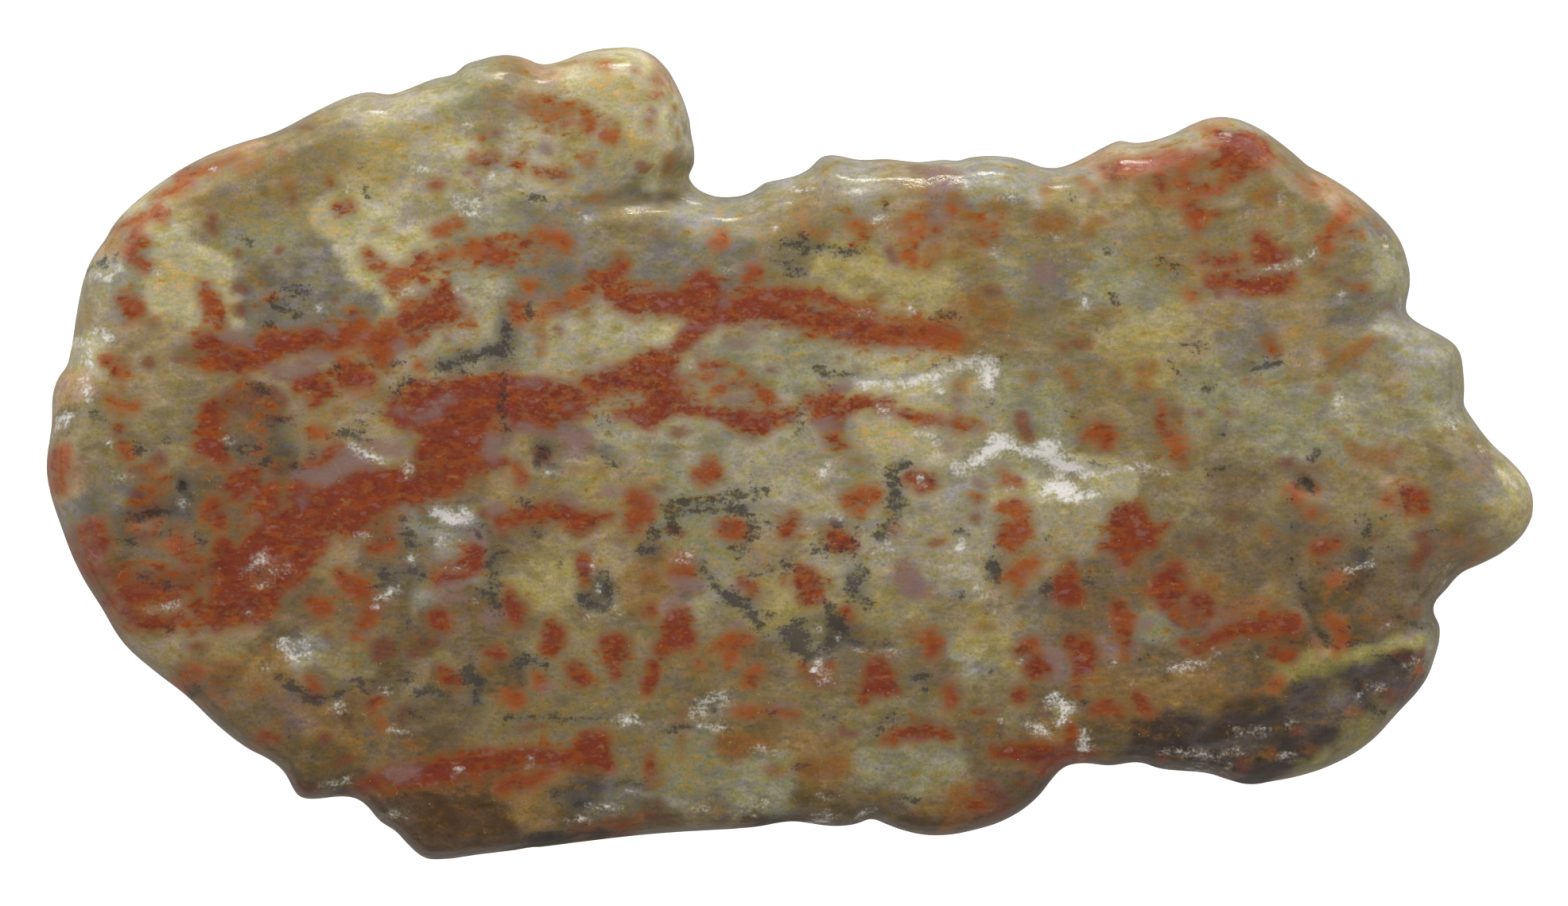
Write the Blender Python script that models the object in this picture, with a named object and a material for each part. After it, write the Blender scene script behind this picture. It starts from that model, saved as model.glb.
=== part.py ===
"""Dinosaur coprolite: a slab sawn from an agatised nodule and tumble-polished, lying on its back face.

It is one stone, so it is one solid. Metres, +Z up. X runs along the slab, Y across it and Z out of the
polished face. The origin is on the back face, under the middle of the slab's box.
"""

import math

import bmesh
import bpy
import numpy as np
from mathutils import Vector, geometry, noise

# Driving dimensions, in metres.
LENGTH = 0.0935
THICKNESS = 0.0090
WAIST_HEIGHT = 0.0042  # where the side wall stands out furthest
BACK_ROLL = 0.0016  # how far in from the outline the polish rolls the back edge over
FACE_DOME = 0.00025  # the middle of the face stands this much above its border
DOME_REACH = 0.009  # and the fall to the border begins this far in

# The mesh: its spacing on the flats and in the hollows, in metres, and the straight pieces that the outline
# has between two of its points.
FACE_SPACING = 0.0023
BACK_SPACING = 0.0070
HOLLOW_SPACING = 0.0003
CURVE_STEPS = 3

# The rings of points inside the outline: how far in, as a share of the roll, and the least spacing along it.
FACE_RINGS = ((0.05, 0.00025), (0.2, 0.0004), (0.5, 0.0006), (1.0, 0.0009))
BACK_RINGS = ((0.1, 0.00025), (0.42, 0.0005), (1.0, 0.0010), (1.5, 0.0020))

NOTCH = "notch"  # marks a point where two lumps meet in a sharp re-entrant corner

# The outline, clockwise on the photograph, in pixels of its 1972 x 1139 frame. Each stretch has its name, how
# far in from the outline the polish rolls the face over (metres), and its points.
OUTLINE = (
    ("left end", 0.0026, (
        (101, 720), (77, 662), (60, 605), (59, 577), (65, 535), (67, 492), (75, 472), (84, 461, NOTCH),
    )),
    ("left shoulder", 0.0022, (
        (90, 435), (98, 385), (108, 344), (120, 319), (133, 301), (143, 283), (165, 259), (200, 231),
        (245, 203), (295, 182), (345, 167), (400, 139), (440, 121), (467, 116), (489, 119),
    )),
    ("upper lobe", 0.0019, (
        (515, 111), (545, 99), (573, 92), (583, 82), (600, 76), (635, 69), (662, 74), (680, 81), (702, 78),
        (735, 66), (775, 60), (806, 62), (832, 79), (851, 108), (866, 148), (869, 170), (873, 193),
        (871, 210), (865, 221, NOTCH),
    )),
    ("saddle", 0.0042, (
        (871, 232), (889, 244), (915, 248), (945, 242), (962, 230), (985, 225), (1012, 216), (1025, 205),
    )),
    ("upper edge", 0.0021, (
        (1034, 197), (1048, 195), (1080, 201), (1115, 200), (1155, 204), (1190, 201), (1205, 203, NOTCH),
        (1216, 199), (1262, 197), (1290, 203), (1305, 209), (1330, 211), (1360, 200), (1392, 183),
        (1408, 177), (1428, 180), (1474, 169),
    )),
    ("right shoulder", 0.0020, (
        (1495, 158), (1532, 147), (1570, 155), (1612, 181), (1645, 209, NOTCH), (1682, 229), (1720, 257),
        (1757, 297), (1770, 330), (1773, 355), (1769, 378), (1767, 392, NOTCH),
    )),
    ("right step", 0.0020, (
        (1780, 404), (1815, 423), (1833, 438), (1840, 470), (1841, 495), (1840, 509, NOTCH),
    )),
    ("right point", 0.0034, (
        (1856, 533), (1875, 557), (1905, 585), (1922, 608), (1928, 637), (1920, 664), (1897, 689),
        (1862, 709), (1838, 720),
    )),
    ("right notch", 0.0018, (
        (1818, 742), (1805, 757), (1803, 770), (1810, 785), (1811, 798),
    )),
    ("lower right lobe", 0.0014, (
        (1803, 830), (1792, 856), (1755, 898), (1722, 933), (1680, 959), (1635, 975), (1600, 982),
        (1571, 986), (1545, 980), (1520, 972), (1475, 968), (1455, 965), (1438, 959),
    )),
    ("lower notch", 0.0012, (
        (1425, 958), (1395, 962), (1362, 959), (1338, 964), (1325, 976),
    )),
    ("belly", 0.0013, (
        (1303, 1003), (1268, 1028), (1225, 1043), (1180, 1050), (1145, 1046), (1105, 1032),
        (1095, 1028, NOTCH),
    )),
    ("bottom edge", 0.0009, (
        (1078, 1035), (1045, 1038), (1015, 1034), (995, 1032), (950, 1039), (860, 1045), (800, 1050),
        (700, 1062), (600, 1074), (552, 1080),
    )),
    ("lower left steps", 0.0013, (
        (534, 1078), (512, 1060), (497, 1044), (478, 1032), (462, 1013), (447, 1003), (425, 1001),
        (392, 1004), (377, 1001), (368, 989), (359, 972), (341, 956),
    )),
    ("lower left flank", 0.0017, (
        (312, 941), (275, 913), (235, 875), (190, 840), (155, 808), (128, 764),
    )),
)

# Hollows in the face: name, centre (pixels), half length and half width (metres), turn on the photograph
# (degrees, anticlockwise) and depth (metres).
HOLLOWS = (
    ("slit in the left cavity", (192, 650), 0.0019, 0.0006, 8, 0.0008),
    ("left cavity", (225, 655), 0.0036, 0.0028, 20, 0.0004),
    ("left pinhole", (233, 610), 0.0009, 0.0007, -50, 0.0007),
    ("pit under the red band", (686, 572), 0.0014, 0.0012, 30, 0.0006),
    ("crystal pocket", (545, 655), 0.0020, 0.0012, 0, 0.0005),
    ("centre pit", (752, 748), 0.0016, 0.0010, 70, 0.0008),
    ("dark patch", (1035, 800), 0.0028, 0.0015, -25, 0.0004),
    ("white crystal hollow", (1330, 600), 0.0026, 0.0014, -25, 0.0004),
    ("upper crystal hollow", (1225, 470), 0.0022, 0.0010, 15, 0.0004),
    ("lower crystal pit", (892, 888), 0.0013, 0.0008, 15, 0.0005),
    ("pale facet", (372, 815), 0.0012, 0.0010, -60, 0.0005),
    ("right pit", (1638, 608), 0.0018, 0.0010, -30, 0.0008),
    ("rough pocket", (1706, 685), 0.0022, 0.0010, 35, 0.0004),
    ("rough trough, left", (1545, 915), 0.0042, 0.0016, 12, 0.0005),
    ("rough trough, right", (1690, 865), 0.0044, 0.0017, 22, 0.0005),
    ("slot in the trough", (1510, 930), 0.0016, 0.0006, 5, 0.0006),
)

# Grooves in the face: name, half width (metres), depth at its first point (metres), and its points (pixels).
# The depth falls to nothing at the last point.
GROOVES = (
    ("fold under the upper lobe", 0.0017, 0.0024, (
        (868, 226), (838, 234), (800, 242), (745, 251), (670, 254),
    )),
    ("fold at the right step", 0.0012, 0.0008, ((1764, 393), (1725, 398), (1680, 412), (1650, 430))),
    ("fold at the right notch", 0.0012, 0.0010, ((1805, 768), (1770, 788), (1720, 802), (1660, 815))),
    ("crack beside the red tongue", 0.0007, 0.0006, ((1665, 815), (1650, 780), (1632, 745), (1622, 705))),
)

STONE_COLOUR = (0.238, 0.155, 0.084, 1.0)  # the photograph's mean, as linear values
STONE_ROUGHNESS = 0.2


def clear_scene():
    for old in list(bpy.data.objects):
        bpy.data.objects.remove(old, do_unlink=True)


def outline_points():
    """The outline's points as (x, y, sharp) in pixels, in order, with each point's roll in metres."""
    points = []
    rolls = []
    for _name, roll, stretch in OUTLINE:
        for x, y, *mark in stretch:
            points.append((x, y, NOTCH in mark))
            rolls.append(roll)
    return points, rolls


class PhotoFrame:
    """Turns pixels of the photograph into metres about the middle of the outline, with Y up the picture."""

    def __init__(self, points):
        xs = [x for x, _y, _sharp in points]
        ys = [y for _x, y, _sharp in points]
        self.scale = LENGTH / (max(xs) - min(xs))
        self.middle = ((max(xs) + min(xs)) / 2, (max(ys) + min(ys)) / 2)

    def place(self, x, y):
        return np.array((x - self.middle[0], self.middle[1] - y)) * self.scale


def make_guide(frame, points):
    """A closed Bezier curve through the outline's points, smooth but for its notches, kept as a guide."""
    curve = bpy.data.curves.new("outline_guide", "CURVE")
    curve.dimensions = "3D"
    curve.resolution_u = CURVE_STEPS
    spline = curve.splines.new("BEZIER")
    spline.bezier_points.add(len(points) - 1)
    spline.use_cyclic_u = True
    for knot, (x, y, sharp) in zip(spline.bezier_points, points):
        knot.co = (*frame.place(x, y), WAIST_HEIGHT)
        knot.handle_left_type = "VECTOR" if sharp else "AUTO"
        knot.handle_right_type = knot.handle_left_type
    guide = bpy.data.objects.new("outline_guide", curve)
    guide.hide_render = True
    guide.display_type = "WIRE"
    bpy.context.scene.collection.objects.link(guide)
    return guide


def read_guide(guide):
    """The guide's corners in the plane, anticlockwise seen from +Z."""
    bpy.context.view_layer.update()
    evaluated = guide.evaluated_get(bpy.context.evaluated_depsgraph_get())
    mesh = evaluated.to_mesh()
    corners = np.array([corner.co[:2] for corner in mesh.vertices])
    evaluated.to_mesh_clear()
    ahead = np.roll(corners, -1, axis=0)
    twice_area = (corners[:, 0] * ahead[:, 1] - corners[:, 1] * ahead[:, 0]).sum()
    return corners if twice_area > 0 else corners[::-1]


def inward_normals(corners):
    along = np.roll(corners, -1, axis=0) - np.roll(corners, 1, axis=0)
    normals = np.stack((-along[:, 1], along[:, 0]), axis=1)
    return normals / np.linalg.norm(normals, axis=1, keepdims=True)


def distance_to_path(places, starts, ends):
    """Each place's distance to the nearest straight piece, that piece's number, and how far along it."""
    spans = ends - starts
    offsets = places[:, None] - starts[None]
    along = (offsets * spans).sum(2) / (spans**2).sum(1)
    along = np.clip(along, 0, 1)
    gaps = np.linalg.norm(offsets - along[..., None] * spans, axis=2)
    nearest = gaps.argmin(1)
    rows = np.arange(len(places))
    return gaps[rows, nearest], nearest, along[rows, nearest]


def turned_axes(degrees):
    """The directions along and across something that is turned anticlockwise."""
    angle = math.radians(degrees)
    return np.array(((math.cos(angle), math.sin(angle)), (-math.sin(angle), math.cos(angle))))


def rolled(share):
    """A quarter round: 0 at the outline, where it stands upright, to 1 where it runs into the face."""
    left = 1 - np.clip(share, 0, 1)
    return np.sqrt(1 - left**2)


def smooth_bowl(share):
    """1 at the middle of a hollow, falling smoothly to 0 at its rim."""
    inside = np.clip(1 - share**2, 0, 1)
    return inside**2


class Slab:
    """The stone's outline and the heights of its face and back."""

    def __init__(self):
        points, rolls = outline_points()
        self.frame = PhotoFrame(points)
        self.corners = read_guide(make_guide(self.frame, points))
        self.ends = np.roll(self.corners, -1, axis=0)
        self.normals = inward_normals(self.corners)
        places = np.array([self.frame.place(x, y) for x, y, _sharp in points])
        self.rolls = self.spread_rolls(places, np.array(rolls))
        self.waists = WAIST_HEIGHT + self.waver(0.009, 0.0011)

    def spread_rolls(self, places, rolls):
        """Each corner's roll: the roll of the outline points near it, blended, and a little uneven."""
        reach = 0.004
        gaps = np.linalg.norm(self.corners[:, None] - places[None], axis=2)
        weights = np.exp(-((gaps / reach) ** 2))
        blended = (weights * rolls).sum(1) / weights.sum(1)
        return blended * (1 + self.waver(0.004, 0.25))

    def waver(self, length, height):
        """A smooth wander along the outline: its usual length from one crest to the next, and its height."""
        return height * np.array([noise.noise(Vector((x, y, height)) / length) for x, y in self.corners])

    def edge_facts(self, places):
        """Each place's distance to the outline, and the roll and waist height of the outline there."""
        gaps, nearest, along = distance_to_path(places, self.corners, self.ends)
        after = (nearest + 1) % len(self.corners)
        roll = self.rolls[nearest] * (1 - along) + self.rolls[after] * along
        waist = self.waists[nearest] * (1 - along) + self.waists[after] * along
        return gaps, roll, waist

    def relief(self, places):
        """How far the hollows and grooves sink the face."""
        depth = np.zeros(len(places))
        for _name, centre, half_length, half_width, turn, deep in HOLLOWS:
            offsets = (places - self.frame.place(*centre)) @ turned_axes(turn).T
            shares = np.linalg.norm(offsets / (half_length, half_width), axis=1)
            depth = np.maximum(depth, deep * smooth_bowl(shares))
        for _name, half_width, deep, path in GROOVES:
            stations = np.array([self.frame.place(*point) for point in path])
            gaps, piece, along = distance_to_path(places, stations[:-1], stations[1:])
            fade = 1 - (piece + along) / (len(path) - 1)
            depth = np.maximum(depth, deep * fade * smooth_bowl(gaps / half_width))
        return depth

    def face_heights(self, places):
        gaps, roll, waist = self.edge_facts(places)
        border = 1 - np.clip(gaps / DOME_REACH, 0, 1)
        top = THICKNESS - FACE_DOME * border**2 - self.relief(places)
        return waist + (top - waist) * rolled(gaps / roll)

    def back_heights(self, places):
        gaps, _roll, waist = self.edge_facts(places)
        return waist * (1 - rolled(gaps / BACK_ROLL))

    def ring(self, offsets, spacing):
        """Points at the offsets inside the outline's corners, fewer where they crowd in a turn or a notch."""
        least = 0.9  # a point nearer to the outline than this share of its offset has crossed another's way
        places = self.corners + self.normals * offsets[:, None]
        gaps, _roll, _waist = self.edge_facts(places)
        kept = []
        for place, gap, offset in zip(places, gaps, offsets):
            crowded = kept and np.linalg.norm(place - kept[-1]) < spacing
            if gap > least * offset and not crowded:
                kept.append(place)
        return np.array(kept)

    def holds(self, places):
        """Whether each place is inside: a ray from it crosses the outline an odd number of times."""
        across, up = places[:, None, 0], places[:, None, 1]
        start_x, start_y = self.corners.T
        end_x, end_y = self.ends.T
        passes = (start_y > up) != (end_y > up)
        rise = np.where(passes, end_y - start_y, 1.0)
        crossing = start_x + (up - start_y) * (end_x - start_x) / rise
        return (passes & (crossing > across)).sum(1) % 2 == 1


def hexagonal_grid(low, high, spacing):
    row_step = spacing * math.sqrt(3) / 2
    places = []
    for row, y in enumerate(np.arange(low[1], high[1], row_step)):
        shift = spacing / 2 * (row % 2)
        places += [(x + shift, y) for x in np.arange(low[0], high[0], spacing)]
    return np.array(places)


def hollow_places(slab):
    """Points that give each hollow its middle, its slope and its rim."""
    places = []
    for _name, centre, half_length, half_width, turn, _deep in HOLLOWS:
        middle = slab.frame.place(*centre)
        places.append(middle)
        for share, count in ((0.4, 6), (0.7, 9), (1.05, 12)):
            angles = np.arange(count) * 2 * math.pi / count
            offsets = np.stack((np.cos(angles) * half_length, np.sin(angles) * half_width), axis=1)
            places.extend(middle + share * offsets @ turned_axes(turn))
    return np.array(places)


def groove_places(slab):
    """Points down the middle of each groove, on its slopes and on its rims."""
    step = 0.0009
    places = []
    for _name, half_width, _deep, path in GROOVES:
        stations = [slab.frame.place(*point) for point in path]
        for start, end in zip(stations, stations[1:]):
            length = np.linalg.norm(end - start)
            side = np.array((start[1] - end[1], end[0] - start[0])) / length
            for share in np.arange(0, 1, step / length):
                middle = start + (end - start) * share
                places += [middle + side * half_width * across for across in (0, -0.5, 0.5, -1, 1)]
    return np.array(places)


def kept_apart(places, others, spacing):
    """The others, and after them the places that are no nearer than the spacing to them or to each other."""
    kept = others
    for place in places:
        if ((kept - place) ** 2).sum(1).min() >= spacing**2:
            kept = np.vstack((kept, place))
    return kept


def sheet_places(slab, rings, details, spacing):
    """The outline's corners, the rings inside it, the details, and a grid over the rest."""
    clearance = 0.55  # between the grid and the other points, as a share of the grid's spacing
    edge = np.vstack((slab.corners, *rings))
    grid = hexagonal_grid(slab.corners.min(0), slab.corners.max(0), spacing)
    within = []
    for places, margin in ((details, HOLLOW_SPACING), (grid, spacing / 2)):
        gaps, _roll, _waist = slab.edge_facts(places)
        within.append(places[slab.holds(places) & (gaps >= margin)])
    places = kept_apart(within[0], edge, HOLLOW_SPACING)
    return kept_apart(within[1], places, spacing * clearance)


def face_places(slab):
    rings = [slab.ring(share * slab.rolls, spacing) for share, spacing in FACE_RINGS]
    details = np.vstack((hollow_places(slab), groove_places(slab)))
    return sheet_places(slab, rings, details, FACE_SPACING)


def back_places(slab):
    roll = np.full(len(slab.corners), BACK_ROLL)
    rings = [slab.ring(share * roll, spacing) for share, spacing in BACK_RINGS]
    return sheet_places(slab, rings, np.empty((0, 2)), BACK_SPACING)


def add_sheet(shape, rim, places, heights, upwards):
    """Triangles over the points, whose first ones are the rim that the face and the back share."""
    inside_only = 1
    least_gap = 1e-9
    outline = list(range(len(rim)))
    flat = [Vector(place) for place in places]
    cut = geometry.delaunay_2d_cdt(flat, [], [outline], inside_only, least_gap)
    found, _edges, triangles, origins, *_rest = cut
    corners = []
    for number, place in enumerate(found):
        source = origins[number][0]
        if source < len(rim):
            corners.append(rim[source])
        else:
            corners.append(shape.verts.new((place.x, place.y, heights[source])))
    for triangle in triangles:
        turned = triangle if upwards else triangle[::-1]
        shape.faces.new([corners[number] for number in turned])


def stone_material():
    material = bpy.data.materials.new("agatised_stone")
    material.use_nodes = True
    shader = material.node_tree.nodes["Principled BSDF"]
    shader.inputs["Base Color"].default_value = STONE_COLOUR
    shader.inputs["Roughness"].default_value = STONE_ROUGHNESS
    shader.inputs["Metallic"].default_value = 0.0
    return material


def make_coprolite():
    slab = Slab()
    shape = bmesh.new()
    rim = [shape.verts.new((x, y, waist)) for (x, y), waist in zip(slab.corners, slab.waists)]
    on_face = face_places(slab)
    add_sheet(shape, rim, on_face, slab.face_heights(on_face), upwards=True)
    on_back = back_places(slab)
    add_sheet(shape, rim, on_back, slab.back_heights(on_back), upwards=False)
    bmesh.ops.recalc_face_normals(shape, faces=shape.faces)
    mesh = bpy.data.meshes.new("coprolite")
    shape.to_mesh(mesh)
    shape.free()
    mesh.shade_smooth()
    mesh.materials.append(stone_material())
    stone = bpy.data.objects.new("coprolite", mesh)
    bpy.context.scene.collection.objects.link(stone)
    return stone


clear_scene()
make_coprolite()
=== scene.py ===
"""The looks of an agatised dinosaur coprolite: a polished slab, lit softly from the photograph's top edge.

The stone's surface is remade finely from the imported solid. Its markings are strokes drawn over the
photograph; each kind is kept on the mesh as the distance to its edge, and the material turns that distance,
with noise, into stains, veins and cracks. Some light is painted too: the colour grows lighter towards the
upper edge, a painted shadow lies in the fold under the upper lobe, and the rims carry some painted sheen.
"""

import math

import bmesh
import bpy
import numpy as np
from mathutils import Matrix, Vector, noise


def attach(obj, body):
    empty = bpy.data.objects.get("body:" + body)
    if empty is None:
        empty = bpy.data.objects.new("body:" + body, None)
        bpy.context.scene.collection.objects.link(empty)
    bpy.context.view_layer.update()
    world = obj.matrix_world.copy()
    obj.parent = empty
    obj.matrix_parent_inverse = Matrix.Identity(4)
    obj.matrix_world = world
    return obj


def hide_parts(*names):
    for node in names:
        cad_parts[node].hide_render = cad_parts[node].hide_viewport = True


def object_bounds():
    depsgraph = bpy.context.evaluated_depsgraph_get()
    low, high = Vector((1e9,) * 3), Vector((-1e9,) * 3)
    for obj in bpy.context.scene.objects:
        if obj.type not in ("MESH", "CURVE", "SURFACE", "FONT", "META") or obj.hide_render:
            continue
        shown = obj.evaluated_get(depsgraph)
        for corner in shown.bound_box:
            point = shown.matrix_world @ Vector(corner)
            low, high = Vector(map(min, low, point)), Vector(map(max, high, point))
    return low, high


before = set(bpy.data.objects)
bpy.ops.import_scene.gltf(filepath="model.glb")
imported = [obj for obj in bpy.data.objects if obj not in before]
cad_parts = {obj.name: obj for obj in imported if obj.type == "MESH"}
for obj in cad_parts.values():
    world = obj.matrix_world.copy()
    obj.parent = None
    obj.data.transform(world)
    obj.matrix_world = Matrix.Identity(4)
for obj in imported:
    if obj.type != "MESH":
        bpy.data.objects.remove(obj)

CAD_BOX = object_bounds()

NODE = "coprolite"
BODY = "root"

# The photograph's frame, in pixels, and where the stone's outline lies in it.
PHOTO_WIDTH, PHOTO_HEIGHT = 1972, 1139
OUTLINE_LEFT, OUTLINE_RIGHT = 59.0, 1928.0
OUTLINE_MIDDLE_Y = 570.0
PIXEL = (CAD_BOX[1].x - CAD_BOX[0].x) / (OUTLINE_RIGHT - OUTLINE_LEFT)
OUTLINE_MIDDLE_X = (OUTLINE_LEFT + OUTLINE_RIGHT) / 2
MIDDLE_X = (CAD_BOX[0].x + CAD_BOX[1].x) / 2

FACE_TOP = CAD_BOX[1].z
WAIST = 0.47 * FACE_TOP  # where the stone's side stands out furthest

# The fine mesh, in metres, and the share of its faces that is kept once the back is made lighter.
WELD = 1e-6
FACE_EDGE = 0.000265
BACK_BELOW = 0.0036
KEPT_SHARE = 0.66
SMOOTHING_ROUNDS = 24
SMOOTHING_MOVES = (0.5, -0.51)  # towards the neighbours' middle, and back out again
SWELL = 0.00003  # what the smoothing takes off the outline

# How deep the marks lie in the surface, in metres, and between which of their depths in pixels they sink.
CRACK_DEPTH = 0.00005
CRYSTAL_DEPTH = 0.00002
SINK_EDGE = (-1.0, 3.0)

# How the markings spread, in pixels: how far out they are worked out, and how softly strokes join.
REACH = 16.0
BLEND = 2.2

# How the markings wander, in pixels, over lumps of noise this long in metres, and further under the face.
DRIFT = 5.0
DRIFT_LENGTH = 0.0022
DRIFT_PER_DEPTH = 0.22
TREMBLE = 2.5
TREMBLE_LENGTH = 0.0007
FACE_MARGIN = 0.0008  # how far the face itself may dip, in metres
BED_SLOPE = (0.35, -0.25)  # the beds lean: what lies deeper is found this far along, for its depth

# The seed of the noises that move the markings, so that each run draws them alike.
NOISE_SEED = 53

# The ground's paints: how far a dab reaches, how little the khaki under them counts, and the noises of the
# borders, as (lumps' width and height in pixels, the noise's layer, how far it moves a border in pixels).
GROUND_REACH = 28.0
KHAKI_WEIGHT = 1e-9
RAGGED = (((62.0, 48.0), 3.1, 16.0), ((21.0, 15.0), 7.7, 8.0))

# Between these heights, in metres, the drawn markings give way to the back, which has blotches of chance.
BACK_FADE = (0.0002, 0.0030)
BACK_WASH = 8.0

# The material's noises, which follow the beds, as (name, lumps in a millimetre, detail) and, for the tints,
# where each is taken. They lie within about a quarter of 0, and the tables under them say how much is used.
BED_TURN = 0.26
BED_STRETCH = (0.68, 1.12, 1.0)
BED_NOISES = (("broad", 0.28, 5.0), ("coarse", 0.80, 5.0), ("middle", 2.2, 5.0))
TINT_NOISES = (
    ("warm", 1.1, 5.0, (31.0, 0.0, 0.0)),
    ("blush", 1.6, 5.0, (0.0, 47.0, 0.0)),
    ("fleck", 4.2, 3.0, (59.0, 0.0, 0.0)),
)
GRAIN_SCALE = 5.5
GRAIN_DETAIL = 3.0
NOISE_ROUGHNESS = 0.6
EDGE_WOBBLE = (("coarse", 20.0), ("middle", 20.0), ("grain", 8.0))
MARK_WOBBLE = {
    "lilac": (("coarse", 26.0), ("middle", 24.0), ("grain", 8.0)),
    "dark": (("coarse", 14.0), ("middle", 32.0), ("grain", 26.0)),
    "white": (("middle", 24.0), ("grain", 22.0)),
}
MOTTLE = (("coarse", 0.40), ("middle", 0.80), ("grain", 0.90))
IRON_MOTTLE = (("coarse", 0.30), ("middle", 0.45), ("grain", 0.30))
WARMTH = (("warm", 2.2), ("fleck", 1.3))
BLUSH = (("blush", 0.40), ("fleck", -0.25))
# Painted light: the colour is made lighter towards the upper edge, which the light comes from.
PAINTED_LIGHT_UP = 0.0065  # with each millimetre towards the upper edge

# Clouds, as (noises, where a cloud starts, where it is full, strength, colour): the ground's are tints that
# multiply it, and the iron's are colours of their own.
CLOUDS = (
    ((("broad", 1.0), ("middle", 0.8)), 0.04, 0.20, 0.70, (1.10, 0.97, 0.68)),
    ((("broad", -1.0), ("coarse", 0.9)), -0.02, 0.12, 0.80, (1.24, 1.27, 1.26)),
    ((("coarse", -1.0), ("grain", 0.8)), 0.10, 0.24, 0.60, (0.64, 0.60, 0.52)),
    ((("blush", -1.0), ("coarse", 0.7)), 0.08, 0.18, 0.60, (1.10, 0.92, 0.98)),
    ((("middle", 1.0), ("broad", 0.8), ("grain", 0.4)), 0.14, 0.24, 0.55, (1.12, 0.80, 0.52)),
    ((("blush", 1.0), ("middle", 0.9)), 0.12, 0.22, 0.60, (1.14, 1.22, 1.28)),
)
IRON_CLOUDS = (
    ((("warm", 1.0), ("coarse", -0.6), ("middle", -0.3)), -0.04, 0.14, 0.65, (170, 80, 30)),
    ((("coarse", -1.0), ("middle", 0.8)), 0.02, 0.18, 0.55, (104, 42, 30)),
    ((("coarse", 1.0), ("middle", 0.7)), 0.08, 0.20, 0.60, (146, 104, 94)),
    ((("blush", 1.0), ("middle", 0.6)), 0.10, 0.24, 0.55, (164, 118, 78)),
)

# Stains and marks, as (kind, where it starts, where it is full, strength, colour), in pixels inside the
# edge that was drawn.
SOFT_STAINS = (
    ("wash", -10.0, 18.0, 0.30, (152, 92, 48)),
    # Shade: soft grey-green dark patches, painted shadow where they lie in the fold under the upper lobe.
    ("shade", -10.0, 10.0, 0.45, (90, 88, 78)),
    ("ochre", -7.0, 7.0, 0.70, (148, 96, 44)),
    ("dull", -7.0, 7.0, 0.80, (124, 70, 50)),
)
SHARP_MARKS = (
    ("lilac", -6.0, 8.0, 0.72, (144, 115, 111)),
    ("dark", -4.0, 6.0, 0.82, (54, 49, 47)),
    ("white", -6.0, 3.0, 0.25, (194, 188, 174)),
    ("white", -1.0, 10.0, 0.95, (246, 244, 240)),
)

# Iron: its halo, where its core starts and is full, and where it deepens, in pixels inside the edge. It is
# rust to orange at the rim of its core and brick red to amber within, in streaks.
IRON_HALO = (-14.0, -3.0, 0.32, (150, 108, 66))
IRON_EDGE = (-8.0, 6.0)
IRON_DEEPENS = (-3.0, 11.0)
IRON_RUST = (142, 78, 42)
IRON_ORANGE = (168, 108, 54)
IRON_BRICK = (134, 54, 32)
IRON_AMBER = (166, 84, 34)
TONE_STREAKS = (("coarse", 1.2), ("middle", 1.2))
TONE_RANGE = (-0.1, 1.1)
IRON_COVER = (("middle", 1.5), ("coarse", 0.8), ("grain", 0.9))
IRON_FULLNESS = 0.95

# Small scattered blotches of iron, which the wash draws together: noises in pixels, and how rare they are.
SCATTER = (("warm", 60.0), ("middle", 30.0))
SCATTER_SHARE = 0.5
SCATTER_REACH = 10.0
SCATTER_BELOW = -8.6

# Hairlines, as (noise, where they start, cells in a millimetre, half width in cells, strength, colour).
# They run along the borders of cells that a noise has bent.
HAIRLINES = (
    ("blush", 0.02, 0.28, 0.010, 0.40, (88, 70, 48)),
    ("warm", 0.05, 0.40, 0.010, 0.28, (200, 192, 166)),
)
HAIRLINE_RISE = 0.1
HAIRLINE_BEND = 1.6
BEND_SCALE = 0.6
BEND_DETAIL = 4.0

# Specks, as (cells in a millimetre, size in cells, rarity, strength, colour).
SPECKS = (
    (2.2, 0.12, 0.80, 0.55, (70, 60, 44)),
    (1.6, 0.08, 0.75, 0.70, (214, 206, 190)),
)
SPECK_CORE = 0.4  # of a speck's size
SPECK_RISE = 0.04

# The polish: a glossy skin, rougher in cracks and crystals, with low bumps, in metres.
STONE_IOR = 1.54
STONE_SPECULAR = 0.3
ROUGHNESS = 0.15
ROUGH_NOISES = (("middle", 0.2), ("coarse", 0.2))
ROUGH_KINDS = ("white", "dark", "shade")
ROUGH_EDGE = (-6.0, 2.0, 0.25)
BUMPS = (("coarse", 4.5), ("middle", 2.2), ("grain", 0.5))
BUMP_STRENGTH = 0.4
BUMP_HEIGHT = 0.00003

# The photograph's colours times this are the stone's own colours: it takes this scene's light out.
LIGHT_SHARE = 0.80

# The room: its light from the walls and from overhead, and how much brighter it is beyond the upper edge.
LIGHT_COLOUR = (1.0, 0.975, 0.93)
WALL_LIGHT = 1.32
ZENITH_LIGHT = 0.30
ZENITH_RISE = (0.55, 0.97)
LIGHT_TILT = 0.50
LAMP_PLACE = (0.0, 0.80, 0.16)
LAMP_SIZE = (0.18, 0.05)
LAMP_POWER = 1.9
FLOOR_SIZE = 3.0
FLOOR_SHADE = 0.45

SENSOR_WIDTH = 36.0
CAMERA_DISTANCE = 0.9
NEAREST_SEEN = 0.01
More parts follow.
